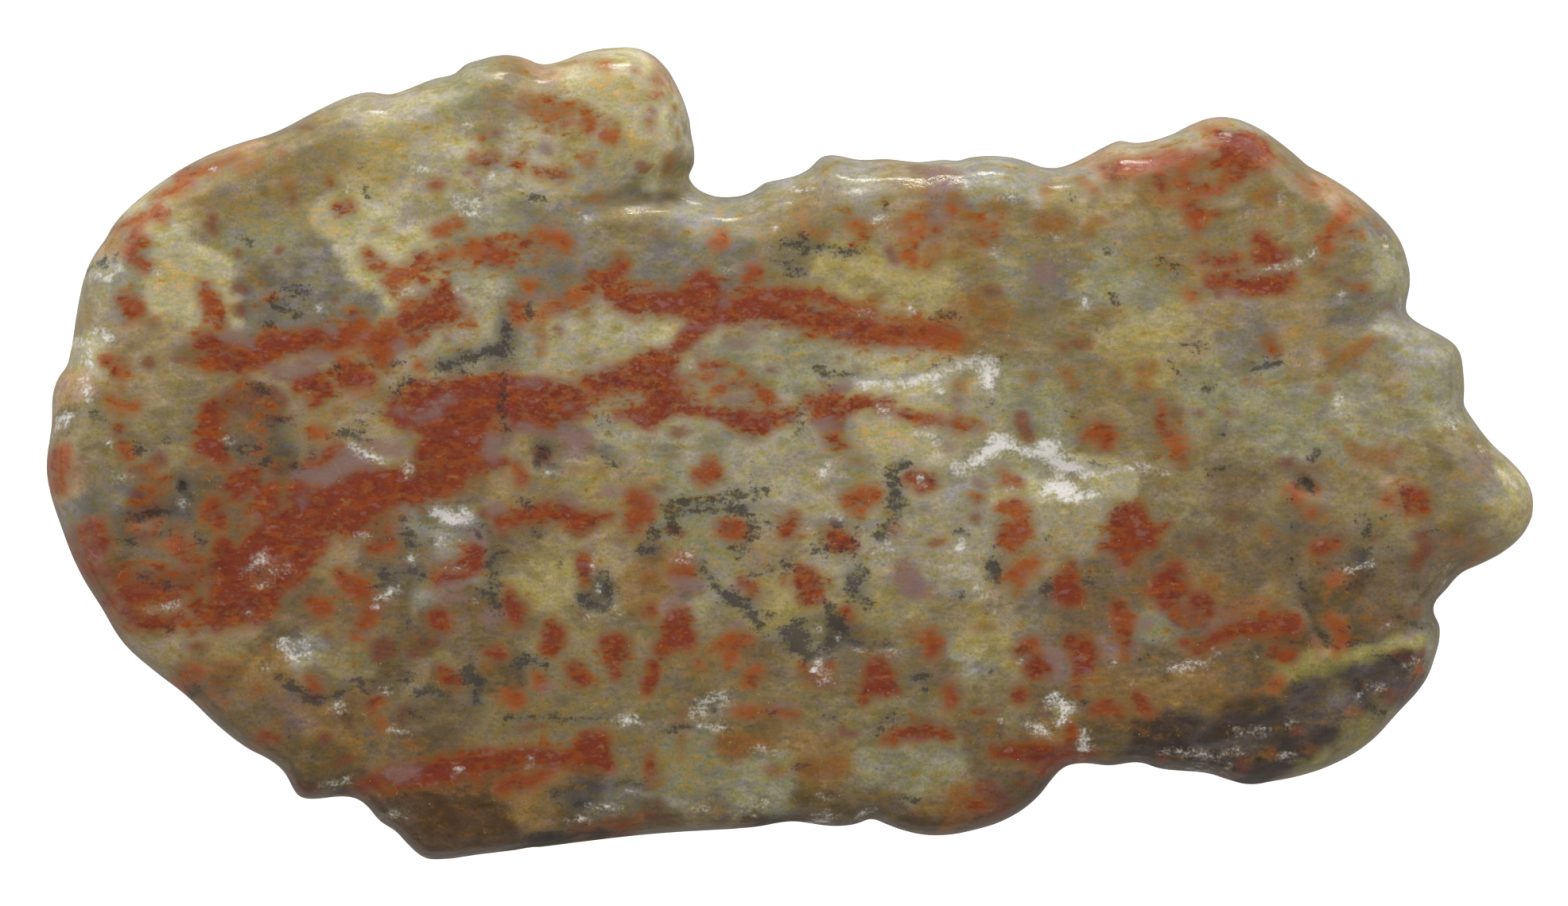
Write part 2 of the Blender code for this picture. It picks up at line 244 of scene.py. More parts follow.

# Markings, drawn over the photograph: each region has its strokes, and a stroke is a row of dabs
# (x, y, half width) in the photograph's pixels. A dab with four values is a flat spot (x, y, half length,
# half height).
RED = {
    "upper left": [
        [(530, 325, 8)], [(535, 350, 8)], [(492, 362, 5)], [(613, 308, 9)],
        [(560, 360, 8), (560, 375, 14), (565, 390, 16), (540, 397, 14), (515, 402, 12)],
    ],
    "first band": [
        [(255, 437, 8), (268, 435, 10), (290, 440, 8)],
        [(250, 455, 5), (270, 458, 8), (290, 455, 12), (310, 450, 16), (330, 445, 17), (345, 437, 14)],
        [(345, 437, 14), (365, 432, 12), (385, 430, 12), (400, 425, 9), (420, 432, 12), (440, 425, 12)],
        [(270, 520, 14), (265, 540, 10), (258, 560, 8), (270, 560, 13), (280, 572, 12)],
        [(380, 484, 11), (400, 482, 13), (410, 490, 10), (395, 503, 8)],
        [(435, 475, 11), (450, 475, 12), (465, 475, 10)],
        [(290, 610, 8), (305, 605, 13), (320, 595, 11), (300, 620, 9)],
        [(335, 620, 12), (345, 630, 10), (335, 640, 9), (350, 612, 8)],
        [(122, 664, 12), (130, 680, 11), (120, 690, 11)],
    ],
    "diagonal body": [
        [(280, 745, 14), (300, 735, 20), (320, 745, 16), (340, 740, 15), (370, 718, 16)],
        [(285, 690, 14), (290, 710, 18), (300, 730, 20)],
        [(300, 725, 18), (330, 690, 24), (360, 670, 25), (390, 655, 29), (420, 635, 27), (450, 625, 28)],
        [(370, 715, 14), (388, 698, 16), (400, 680, 16)], [(380, 612, 13), (385, 630, 15), (395, 645, 20)],
        [(450, 640, 27), (445, 656, 18)],
        [(450, 625, 28), (470, 618, 26), (500, 610, 20), (520, 615, 15), (545, 606, 17), (570, 600, 17)],
        [(560, 595, 20), (575, 578, 24), (590, 556, 20), (560, 548, 20), (540, 570, 12)],
        [(590, 560, 20), (600, 525, 24), (560, 530, 24), (520, 530, 14), (500, 520, 12)],
    ],
    "middle band": [
        [(500, 508, 12), (530, 500, 18), (560, 500, 20), (600, 497, 24), (640, 497, 26), (680, 502, 24)],
        [(680, 502, 24), (712, 506, 20), (732, 512, 13)], [(655, 528, 14), (690, 530, 10)],
        [(740, 480, 8), (750, 490, 8), (765, 480, 12), (790, 475, 16), (820, 465, 22), (845, 455, 8)],
        [(820, 470, 22), (832, 488, 20), (835, 502, 18), (828, 515, 14), (815, 525, 14), (780, 520, 5)],
        [(835, 490, 12), (850, 492, 5), (862, 500, 3)], [(830, 508, 14), (850, 510, 8), (870, 515, 6)],
        [(870, 515, 6), (890, 518, 6), (910, 520, 8), (930, 530, 13), (945, 535, 13), (960, 532, 12)],
        [(960, 532, 12), (975, 525, 9), (990, 522, 6), (998, 520, 4)],
        [(1015, 505, 8), (1035, 505, 8), (1050, 508, 11), (1060, 514, 11), (1075, 509, 9), (1092, 505, 5)],
        [(1092, 505, 5), (1108, 503, 3), (1120, 502, 2)], [(1028, 519, 7), (1047, 522, 8)],
    ],
    "under the middle band": [
        [(605, 590, 6), (615, 582, 8), (632, 584, 8)],
        [(630, 650, 8), (650, 650, 8), (670, 646, 9), (690, 644, 10), (710, 645, 11), (730, 655, 9)],
        [(730, 655, 9), (745, 650, 7), (765, 650, 5)], [(700, 640, 14, 8)],
    ],
    "upper band": [
        [(745, 350, 6), (760, 355, 9), (775, 345, 8), (785, 335, 7), (780, 325, 4)],
        [(770, 365, 11), (785, 378, 11), (800, 384, 13), (830, 381, 13), (850, 380, 13), (870, 380, 16)],
        [(870, 380, 16), (890, 373, 20), (900, 384, 18), (920, 392, 14)], [(888, 352, 10), (868, 356, 5)],
        [(890, 398, 16), (880, 412, 11), (864, 428, 9), (850, 441, 7)],
        [(920, 390, 15), (960, 378, 12), (985, 371, 9), (1010, 371, 7), (1030, 371, 5), (1045, 378, 6)],
        [(920, 393, 14), (960, 388, 12), (1000, 396, 13), (1030, 404, 14), (1060, 413, 17),
         (1090, 418, 16)],
    ],
    "upper right": [
        [(1530, 170, 9), (1545, 184, 14), (1560, 178, 14), (1575, 172, 9)],
        [(1548, 196, 13), (1570, 195, 13), (1585, 198, 11), (1590, 185, 7)],
        [(1582, 205, 8), (1556, 214, 8), (1550, 225, 5)],
        [(1580, 300, 7), (1588, 310, 9), (1600, 325, 9), (1578, 325, 9)],
        [(1510, 325, 5), (1530, 330, 5), (1550, 330, 5)], [(1705, 362, 6, 3)],
        [(1520, 355, 7), (1540, 355, 8), (1560, 360, 9), (1580, 359, 12), (1600, 355, 14), (1620, 352, 9)],
    ],
    "centre": [
        [(1145, 603, 8), (1165, 605, 9), (1172, 600, 7)], [(1158, 615, 6)], [(1150, 595, 4)],
        [(990, 660, 9, 12)], [(985, 667, 7), (1000, 655, 7)],
        [(1045, 665, 8), (1050, 672, 11), (1060, 680, 11), (1070, 685, 6)], [(985, 730, 3)],
        [(1005, 716, 5), (1010, 725, 11), (1018, 735, 13), (1024, 745, 9), (1015, 750, 8)],
        [(1065, 772, 8, 7)], [(1015, 840, 5), (1028, 845, 7), (1035, 850, 5)], [(1040, 835, 5)],
        [(1035, 857, 8, 3)], [(1105, 832, 5), (1103, 840, 10), (1107, 850, 14), (1115, 860, 11)],
        [(1095, 862, 8), (1115, 862, 8), (1126, 866, 5)], [(1090, 870, 6), (1085, 878, 4)],
        [(860, 775, 12), (851, 790, 16), (860, 800, 13), (842, 804, 10), (833, 815, 7), (835, 825, 4)],
        [(858, 895, 4, 3)], [(857, 933, 3, 6)],
    ],
    "lower left": [
        [(560, 722, 11), (580, 716, 13), (598, 706, 13), (600, 692, 11)], [(550, 728, 7)],
        [(735, 702, 7), (737, 715, 8), (740, 728, 7)], [(553, 780, 13)], [(620, 818, 5), (632, 820, 8)],
        [(642, 745, 6), (645, 755, 8), (648, 765, 11), (650, 775, 8)],
        [(697, 791, 11), (699, 803, 13), (695, 815, 9)], [(723, 841, 10), (728, 850, 12)],
        [(765, 805, 7), (776, 808, 12), (785, 813, 10), (775, 828, 11), (775, 843, 8)],
        [(822, 840, 8), (820, 855, 9), (816, 865, 6)], [(558, 841, 5), (568, 850, 8), (574, 856, 5)],
    ],
    "left stripes": [
        [(145, 752, 9), (170, 751, 10), (200, 749, 7), (225, 749, 5)],
        [(160, 770, 7), (180, 779, 9), (200, 782, 10), (215, 784, 7), (232, 772, 6)],
        [(255, 765, 10), (275, 766, 10), (300, 761, 13), (325, 756, 15), (345, 754, 11)],
        [(330, 768, 11), (325, 778, 5)], [(340, 925, 11, 8)], [(350, 930, 6, 5)],
        [(160, 738, 5), (200, 735, 5), (240, 738, 6)], [(240, 702, 5), (270, 712, 6)],
        [(245, 788, 5), (275, 782, 6), (305, 775, 8)], [(115, 714, 5), (135, 722, 6)],
    ],
    "bottom band": [
        [(455, 985, 5), (475, 980, 8), (490, 975, 9), (520, 974, 14), (560, 966, 16), (600, 956, 14)],
        [(600, 956, 14), (640, 954, 13), (665, 950, 12), (690, 948, 9), (715, 950, 9), (735, 945, 16)],
        [(735, 945, 16), (750, 944, 18), (765, 958, 9)], [(755, 930, 11), (740, 930, 11)],
        [(820, 960, 7, 11)], [(785, 1036, 12, 6)],
    ],
    "right centre": [
        [(1345, 708, 4), (1345, 720, 9), (1340, 735, 14), (1337, 745, 14), (1350, 745, 12)],
        [(1410, 640, 9), (1425, 645, 13), (1430, 660, 15), (1415, 662, 21), (1415, 675, 18),
         (1440, 674, 11)],
        [(1385, 685, 6), (1400, 682, 11), (1418, 690, 13), (1415, 703, 9)],
        [(1440, 668, 5), (1465, 660, 4)],
        [(1475, 716, 10), (1466, 728, 16), (1458, 740, 14), (1478, 736, 11)], [(1465, 753, 14)],
        [(1765, 622, 11), (1779, 628, 12), (1784, 637, 9), (1762, 640, 6)],
        [(1653, 690, 7), (1662, 685, 9, 6)], [(1675, 680, 7)],
    ],
    "lower right": [
        [(1300, 835, 12), (1308, 838, 9), (1298, 844, 7)],
        [(1350, 808, 11), (1360, 816, 13), (1364, 830, 13)], [(1358, 839, 9)],
        [(1350, 850, 4), (1350, 870, 4)], [(1282, 872, 10, 9)], [(1237, 893, 9, 3)],
        [(1345, 915, 6), (1350, 925, 6), (1350, 938, 8)], [(1310, 965, 7)],
        [(1250, 942, 7), (1270, 943, 11), (1290, 943, 13), (1310, 947, 14), (1330, 949, 11),
         (1350, 945, 12)],
        [(1350, 945, 12), (1370, 948, 7), (1380, 952, 5)], [(1489, 809, 6, 7)],
        [(1125, 925, 5), (1135, 922, 6), (1150, 920, 8), (1170, 916, 8), (1185, 918, 7), (1190, 925, 5)],
        [(1505, 818, 5), (1515, 810, 6), (1525, 803, 7), (1540, 795, 8), (1555, 790, 8), (1575, 789, 9)],
        [(1575, 789, 9), (1590, 785, 11), (1610, 782, 11), (1625, 778, 8), (1620, 792, 7)],
        [(1500, 755, 9), (1515, 758, 9), (1520, 765, 7)], [(1600, 820, 7), (1615, 823, 8)],
        [(1652, 812, 5)],
    ],
}

RUST = {
    "upper left": [
        [(262, 362, 7), (268, 376, 11), (274, 392, 12), (280, 408, 9)], [(262, 404, 6)],
        [(175, 293, 4), (175, 303, 7), (172, 315, 8), (173, 323, 7), (182, 330, 6), (190, 334, 7)],
        [(160, 380, 7), (170, 388, 12), (178, 390, 9)], [(428, 263, 5), (440, 262, 7)], [(417, 234, 4)],
        [(467, 320, 4), (470, 330, 4), (478, 333, 5), (484, 336, 4)],
        [(610, 322, 9), (630, 325, 12), (645, 328, 8)], [(660, 308, 8), (668, 303, 6)], [(552, 235, 6)],
        [(600, 203, 5), (615, 203, 6), (625, 199, 4)], [(608, 176, 5)],
        [(676, 219, 4), (690, 220, 4), (700, 220, 4), (708, 220, 6)], [(742, 158, 9, 11)], [(713, 156, 4)],
        [(800, 92, 2)],
    ],
    "left bands": [
        [(440, 425, 15), (455, 411, 11)], [(440, 462, 10), (460, 468, 9)], [(475, 430, 16), (490, 416, 12)],
        [(480, 445, 10), (500, 426, 10)], [(535, 420, 8), (520, 430, 7)], [(222, 683, 9), (235, 688, 10)],
        [(225, 670, 6)], [(155, 540, 8, 7)], [(160, 560, 7), (165, 571, 8)],
        [(265, 645, 8), (275, 638, 11), (280, 654, 10)],
        [(390, 582, 5), (405, 580, 6), (420, 568, 6), (428, 560, 4)], [(652, 590, 6), (657, 603, 6)],
        [(800, 626, 10), (810, 635, 11), (800, 650, 11), (796, 665, 7)], [(815, 650, 7)],
    ],
    "upper band": [
        [(1045, 378, 6), (1062, 386, 7), (1078, 391, 7), (1095, 390, 7)],
        [(1090, 418, 13), (1120, 419, 14), (1150, 420, 15), (1180, 422, 14), (1200, 424, 9),
         (1208, 427, 6)],
        [(940, 356, 9), (945, 346, 8), (955, 345, 6)], [(1196, 267, 6, 9)], [(1178, 290, 6)],
        [(1393, 215, 7), (1410, 210, 8), (1425, 212, 9), (1440, 205, 7), (1460, 207, 8), (1475, 203, 6)],
        [(1475, 203, 6), (1490, 202, 6), (1510, 198, 6)], [(1400, 225, 7)],
        [(1455, 225, 7), (1462, 235, 7)],
        [(1485, 213, 4), (1488, 228, 4), (1500, 238, 4), (1515, 242, 4), (1531, 239, 4), (1541, 228, 4)],
        [(1541, 228, 4), (1541, 214, 4)], [(1490, 258, 9, 7)], [(1495, 271, 8), (1505, 275, 11)],
        [(1505, 285, 9)],
    ],
    "centre": [
        [(852, 480, 3), (870, 476, 2)], [(856, 496, 4), (875, 492, 2)], [(885, 476, 2), (905, 473, 2)],
        [(885, 462, 4), (900, 463, 4), (915, 458, 3)], [(872, 505, 3), (890, 504, 2)],
        [(905, 488, 4), (925, 485, 3), (940, 483, 3)], [(935, 470, 6, 5)],
        [(955, 490, 7), (962, 498, 8), (968, 507, 6)], [(905, 492, 8, 4)],
        [(1105, 515, 3), (1125, 517, 4), (1140, 523, 5), (1155, 527, 6), (1170, 528, 4), (1180, 533, 2)],
        [(1195, 535, 5), (1205, 534, 6), (1215, 535, 4), (1228, 535, 2)], [(1048, 554, 8), (1056, 560, 8)],
        [(880, 595, 9), (894, 591, 12), (890, 604, 7)], [(915, 665, 12), (925, 661, 9), (930, 670, 7)],
        [(860, 705, 10, 8)], [(865, 717, 7), (850, 720, 6)], [(935, 730, 6), (943, 738, 7), (950, 740, 6)],
        [(975, 893, 6), (990, 897, 4), (1002, 900, 2)], [(1170, 800, 9), (1175, 812, 10), (1168, 820, 6)],
        [(1195, 868, 7), (1196, 878, 8)], [(1112, 926, 4), (1125, 925, 5)],
    ],
    "lower left": [
        [(480, 685, 12, 9)], [(495, 682, 9)], [(470, 688, 8)], [(490, 665, 6)],
        [(430, 720, 7), (440, 730, 9), (454, 738, 12), (460, 745, 10)], [(465, 775, 7), (470, 765, 9)],
        [(475, 760, 6), (460, 785, 7)], [(395, 755, 8), (405, 764, 10), (415, 766, 8)], [(818, 768, 8, 9)],
        [(397, 850, 6), (405, 862, 6), (402, 871, 5)], [(470, 885, 7), (480, 877, 7)],
        [(630, 990, 6), (640, 985, 10), (652, 980, 11), (667, 984, 8), (680, 975, 7), (690, 968, 5)],
        [(452, 798, 8, 5)],
    ],
    "right": [
        [(1275, 665, 15), (1265, 674, 12), (1284, 661, 11), (1271, 685, 8)],
        [(1370, 545, 5), (1382, 542, 9), (1395, 545, 8), (1388, 558, 9)], [(1362, 552, 3), (1368, 545, 4)],
        [(1457, 520, 5), (1457, 530, 7), (1460, 541, 6)], [(1283, 818, 9), (1295, 809, 8)],
        [(1405, 760, 9), (1410, 773, 12), (1412, 790, 10), (1414, 802, 6), (1412, 825, 3)],
        [(1375, 892, 8), (1388, 888, 10), (1400, 893, 7), (1405, 900, 5)],
        [(1428, 875, 5), (1433, 885, 7), (1440, 892, 6)], [(1595, 438, 8)], [(1655, 615, 5)],
        [(1620, 612, 5), (1625, 620, 6), (1630, 628, 5)], [(1650, 645, 9, 5)],
    ],
}

ORANGE = {
    "upper left": [
        [(238, 216, 5), (250, 212, 7), (270, 208, 7), (285, 205, 4), (300, 196, 3)],
        [(240, 228, 6), (225, 240, 5), (205, 250, 4)], [(165, 281, 5), (180, 277, 6), (205, 271, 8)],
        [(205, 271, 8), (215, 268, 5)], [(445, 395, 8)], [(552, 293, 6), (565, 290, 6), (578, 284, 6)],
        [(490, 352, 7), (500, 350, 9), (515, 343, 8), (530, 338, 7), (545, 332, 7), (560, 326, 6)],
        [(560, 326, 6), (570, 322, 4)], [(592, 318, 8), (600, 312, 9)], [(515, 385, 6)],
        [(690, 300, 9), (700, 303, 8), (712, 308, 9)], [(695, 147, 4)], [(718, 138, 4)],
        [(762, 172, 6), (772, 175, 5)], [(762, 82, 7, 5)], [(826, 103, 6, 4)], [(826, 122, 6, 3)],
        [(820, 155, 4, 5)], [(670, 362, 10, 9)], [(650, 385, 8), (652, 397, 9)],
        [(700, 385, 5), (715, 378, 5), (730, 373, 7), (745, 365, 8)],
        [(680, 397, 4), (690, 392, 4), (705, 384, 4)], [(900, 303, 5), (908, 300, 6), (905, 308, 5)],
    ],
    "left": [
        [(140, 455, 8), (150, 460, 9), (155, 470, 6)], [(140, 503, 4), (155, 507, 5), (175, 510, 5)],
        [(80, 570, 10), (82, 582, 8), (80, 610, 6)], [(400, 545, 9), (414, 545, 5)], [(530, 465, 8, 7)],
        [(470, 493, 10, 3)], [(740, 488, 7, 9)], [(760, 500, 8, 4)], [(385, 720, 7)],
    ],
    "upper right": [
        [(1075, 283, 9, 7)],
        [(1140, 280, 3), (1146, 272, 3), (1157, 273, 4), (1162, 283, 3), (1155, 294, 3)],
        [(1155, 294, 3), (1144, 292, 3)], [(1143, 305, 4), (1148, 312, 4), (1141, 324, 7), (1150, 330, 6)],
        [(1165, 335, 5)], [(1125, 282, 5, 3)], [(1497, 370, 8, 6)], [(1370, 240, 6, 5)],
        [(1045, 402, 8, 6)],
        [(1690, 268, 8), (1680, 280, 7), (1670, 290, 6), (1661, 305, 8), (1665, 315, 7)],
        [(1180, 430, 12, 8)], [(1195, 420, 7, 12)], [(1192, 435, 7)],
    ],
    "lower left": [
        [(640, 870, 8), (650, 877, 10), (655, 885, 6)], [(675, 850, 7), (680, 860, 6)], [(483, 910, 8, 7)],
        [(240, 850, 9), (250, 844, 9)],
    ],
    "centre": [
        [(1070, 628, 8), (1085, 625, 11), (1100, 622, 9)], [(1070, 636, 5), (1081, 639, 6)],
        [(1122, 668, 4, 5)], [(905, 810, 5), (920, 808, 10), (935, 808, 7), (945, 803, 4)],
        [(920, 822, 9), (915, 831, 5)], [(880, 835, 7, 5)], [(940, 850, 8), (950, 843, 7)], [(948, 858, 6)],
        [(932, 893, 6), (945, 893, 6)], [(960, 893, 6)],
    ],
    "right": [
        [(1260, 640, 7), (1275, 637, 8), (1285, 645, 8)], [(1262, 600, 5, 8)], [(1268, 608, 7, 5)],
        [(1276, 608, 5)], [(1265, 725, 7), (1275, 720, 9), (1290, 712, 7), (1298, 705, 6)],
        [(1280, 730, 7)], [(1474, 550, 13, 10)], [(1480, 568, 13, 15)], [(1740, 628, 8, 9)],
        [(1827, 681, 4.5, 3.5)], [(1870, 700, 6, 8)], [(1675, 725, 10, 7)], [(1665, 735, 6)],
        [(1670, 780, 7), (1680, 790, 10)], [(1683, 803, 10), (1675, 812, 7)], [(1785, 840, 7)],
        [(1600, 861, 7), (1605, 855, 5)], [(1230, 625, 7, 6)],
    ],
}

# A broad rust wash around the iron, under everything else.
WASH = {
    "left": [
        [(260, 440, 24), (300, 452, 24), (350, 440, 26), (400, 432, 24), (440, 430, 26), (480, 432, 20)],
        [(272, 530, 24), (268, 570, 22)], [(390, 490, 22), (440, 478, 22)],
        [(300, 608, 22), (342, 630, 20)], [(230, 690, 22)], [(120, 680, 22)], [(155, 470, 18)],
        [(168, 388, 18)], [(178, 312, 14)], [(540, 385, 30), (500, 350, 18)],
        [(560, 330, 18), (620, 318, 22), (690, 303, 20)], [(700, 385, 14), (745, 370, 20)],
        [(590, 400, 16)], [(480, 450, 20), (525, 425, 18)],
        [(300, 730, 34), (360, 690, 36), (420, 650, 40), (480, 630, 36), (540, 605, 34), (580, 575, 34)],
        [(580, 575, 34), (600, 520, 38), (520, 515, 28)], [(170, 765, 24), (230, 765, 22), (310, 765, 28)],
        [(700, 145, 28)], [(745, 160, 18)], [(655, 205, 16)], [(200, 600, 20), (190, 655, 22)],
        [(330, 520, 20), (330, 575, 16)], [(320, 650, 24)], [(160, 722, 22), (240, 722, 24)],
        [(345, 375, 14)], [(660, 395, 18)], [(100, 590, 14)], [(290, 500, 16)],
    ],
    "bands": [
        [(775, 365, 18), (850, 380, 22), (900, 385, 32), (960, 385, 24), (1020, 396, 26), (1080, 410, 28)],
        [(1080, 410, 28), (1140, 418, 30), (1195, 428, 22)], [(780, 338, 14)],
        [(640, 497, 34), (710, 503, 28), (770, 485, 22), (830, 490, 34)], [(940, 525, 20)],
        [(1050, 512, 20)], [(650, 650, 14), (740, 650, 16)], [(805, 640, 22)],
    ],
    "upper right": [
        [(1400, 215, 16), (1480, 212, 22), (1545, 188, 28), (1585, 198, 22)], [(1505, 272, 24)],
        [(1500, 235, 24)], [(1590, 318, 20)], [(1550, 352, 20), (1610, 352, 18)], [(1685, 285, 20)],
        [(1650, 235, 16)], [(1080, 290, 22)], [(1150, 290, 26)], [(1240, 290, 24)],
    ],
    "lower right": [
        [(1490, 768, 22)], [(1520, 800, 16), (1590, 785, 22)], [(1605, 818, 14)], [(1415, 668, 32)],
        [(1462, 735, 30)], [(1345, 735, 22)], [(1273, 668, 24)], [(1408, 785, 16)], [(1358, 825, 22)],
        [(1302, 835, 18)], [(1768, 630, 24)], [(1660, 690, 16)], [(1385, 550, 18)], [(1470, 550, 22)],
        [(1285, 950, 18), (1345, 946, 18)], [(1160, 918, 16)], [(1390, 892, 18)], [(1225, 1010, 22)],
    ],
    "spots": [
        [(590, 705, 22)], [(698, 802, 20)], [(777, 822, 22)], [(554, 780, 18)], [(648, 762, 17)],
        [(727, 847, 17)], [(819, 855, 14)], [(855, 793, 24)], [(920, 815, 20)], [(1106, 855, 20)],
        [(1016, 735, 20)], [(1055, 677, 18)], [(990, 662, 18)], [(922, 664, 18)], [(890, 595, 20)],
        [(1160, 604, 18)], [(1085, 630, 18)], [(445, 730, 20)], [(480, 685, 18)], [(647, 873, 16)],
        [(945, 850, 14)], [(740, 718, 12)], [(1172, 810, 14)],
    ],
    "bottom": [
        [(480, 978, 18), (570, 965, 24), (640, 955, 20), (700, 950, 18), (748, 946, 24)], [(655, 984, 16)],
        [(280, 860, 22)], [(240, 848, 16)],
    ],
}

# Soft stains: dull mauve-red ones, and brown-orange ones.
DULL = {
    "upper left": [
        [(300, 362, 6), (310, 365, 5)], [(305, 390, 12)], [(370, 252, 6)], [(388, 163, 5)],
        [(272, 288, 7), (270, 275, 5)], [(304, 322, 7)], [(355, 315, 4)], [(423, 375, 5)], [(627, 172, 6)],
        [(590, 172, 4)], [(591, 218, 4)], [(810, 210, 8)], [(825, 140, 4)],
    ],
    "left": [
        [(190, 455, 10, 9)], [(205, 578, 12, 9)], [(180, 590, 12, 6)], [(110, 668, 8)],
        [(175, 625, 10), (190, 635, 12), (200, 640, 8)], [(165, 650, 8, 5)], [(185, 672, 14, 8)],
        [(165, 668, 6)], [(235, 450, 12, 4)], [(280, 515, 14), (300, 505, 14), (310, 490, 12)],
        [(310, 490, 12), (320, 500, 12), (345, 495, 10), (355, 502, 10)], [(345, 525, 16, 7)],
        [(485, 455, 14, 10)], [(565, 425, 6, 5)], [(705, 415, 6)], [(635, 668, 6)], [(610, 645, 8)],
        [(725, 665, 7), (740, 658, 8)], [(682, 572, 14, 12)], [(350, 585, 10)], [(372, 586, 10, 6)],
        [(112, 712, 8), (150, 724, 10), (200, 728, 10), (250, 725, 11), (290, 715, 10)],
        [(435, 955, 12, 7)],
    ],
    "upper right": [
        [(1120, 320, 6), (1125, 330, 6)], [(1105, 372, 8, 5)], [(1530, 270, 8)], [(1615, 320, 8)],
        [(1530, 370, 8)], [(1680, 355, 8, 5)], [(1750, 388, 6, 2)], [(1243, 367, 12, 7)],
    ],
    "centre": [
        [(970, 466, 7, 5)], [(1055, 455, 5)], [(1055, 536, 11, 9)], [(855, 545, 12, 6)], [(845, 572, 5, 2)],
        [(830, 615, 10, 6)], [(845, 665, 8)], [(855, 670, 6)], [(1175, 680, 8, 4)], [(1160, 905, 14, 5)],
        [(1145, 910, 5)], [(1070, 920, 10, 6)], [(1060, 915, 6)],
    ],
    "lower left": [
        [(540, 805, 14, 8)], [(525, 820, 8, 7)], [(480, 810, 14, 10)], [(475, 820, 9)], [(490, 815, 8)],
        [(735, 772, 5, 4)], [(512, 893, 8)], [(505, 905, 5)], [(250, 810, 12, 6)], [(270, 775, 16, 8)],
        [(410, 925, 8)], [(415, 800, 5)], [(395, 990, 12, 6)], [(385, 1000, 10, 5)], [(820, 1025, 14, 6)],
        [(840, 1030, 6, 4)], [(830, 1005, 5, 4)], [(740, 1040, 16, 8)], [(675, 910, 12, 3)],
        [(660, 915, 6, 4)], [(780, 680, 6, 3)],
    ],
    "right": [
        [(1350, 433, 14, 7)], [(1335, 438, 8, 6)], [(1365, 430, 7)],
        [(1285, 528, 8), (1287, 540, 10), (1289, 548, 7)], [(1475, 520, 10, 6)], [(1505, 522, 5, 4)],
        [(1225, 650, 8)], [(1510, 680, 9, 6)], [(1545, 650, 7, 5)], [(1545, 520, 8, 4)],
        [(1615, 580, 12, 9)], [(1725, 677, 8, 4)], [(1480, 775, 12), (1495, 776, 14), (1510, 780, 9)],
        [(1240, 990, 12), (1255, 1005, 14)], [(1260, 1015, 14, 9)], [(1285, 985, 8, 5)], [(1629, 917, 8)],
        [(1744, 873, 8)], [(1770, 868, 6)], [(1459, 953, 7)], [(1562, 958, 8)],
        [(1750, 822, 9, 5), (1770, 825, 9, 4), (1785, 822, 8, 5)], [(1785, 675, 12, 8)],
        [(1790, 690, 8), (1775, 705, 9)],
    ],
}

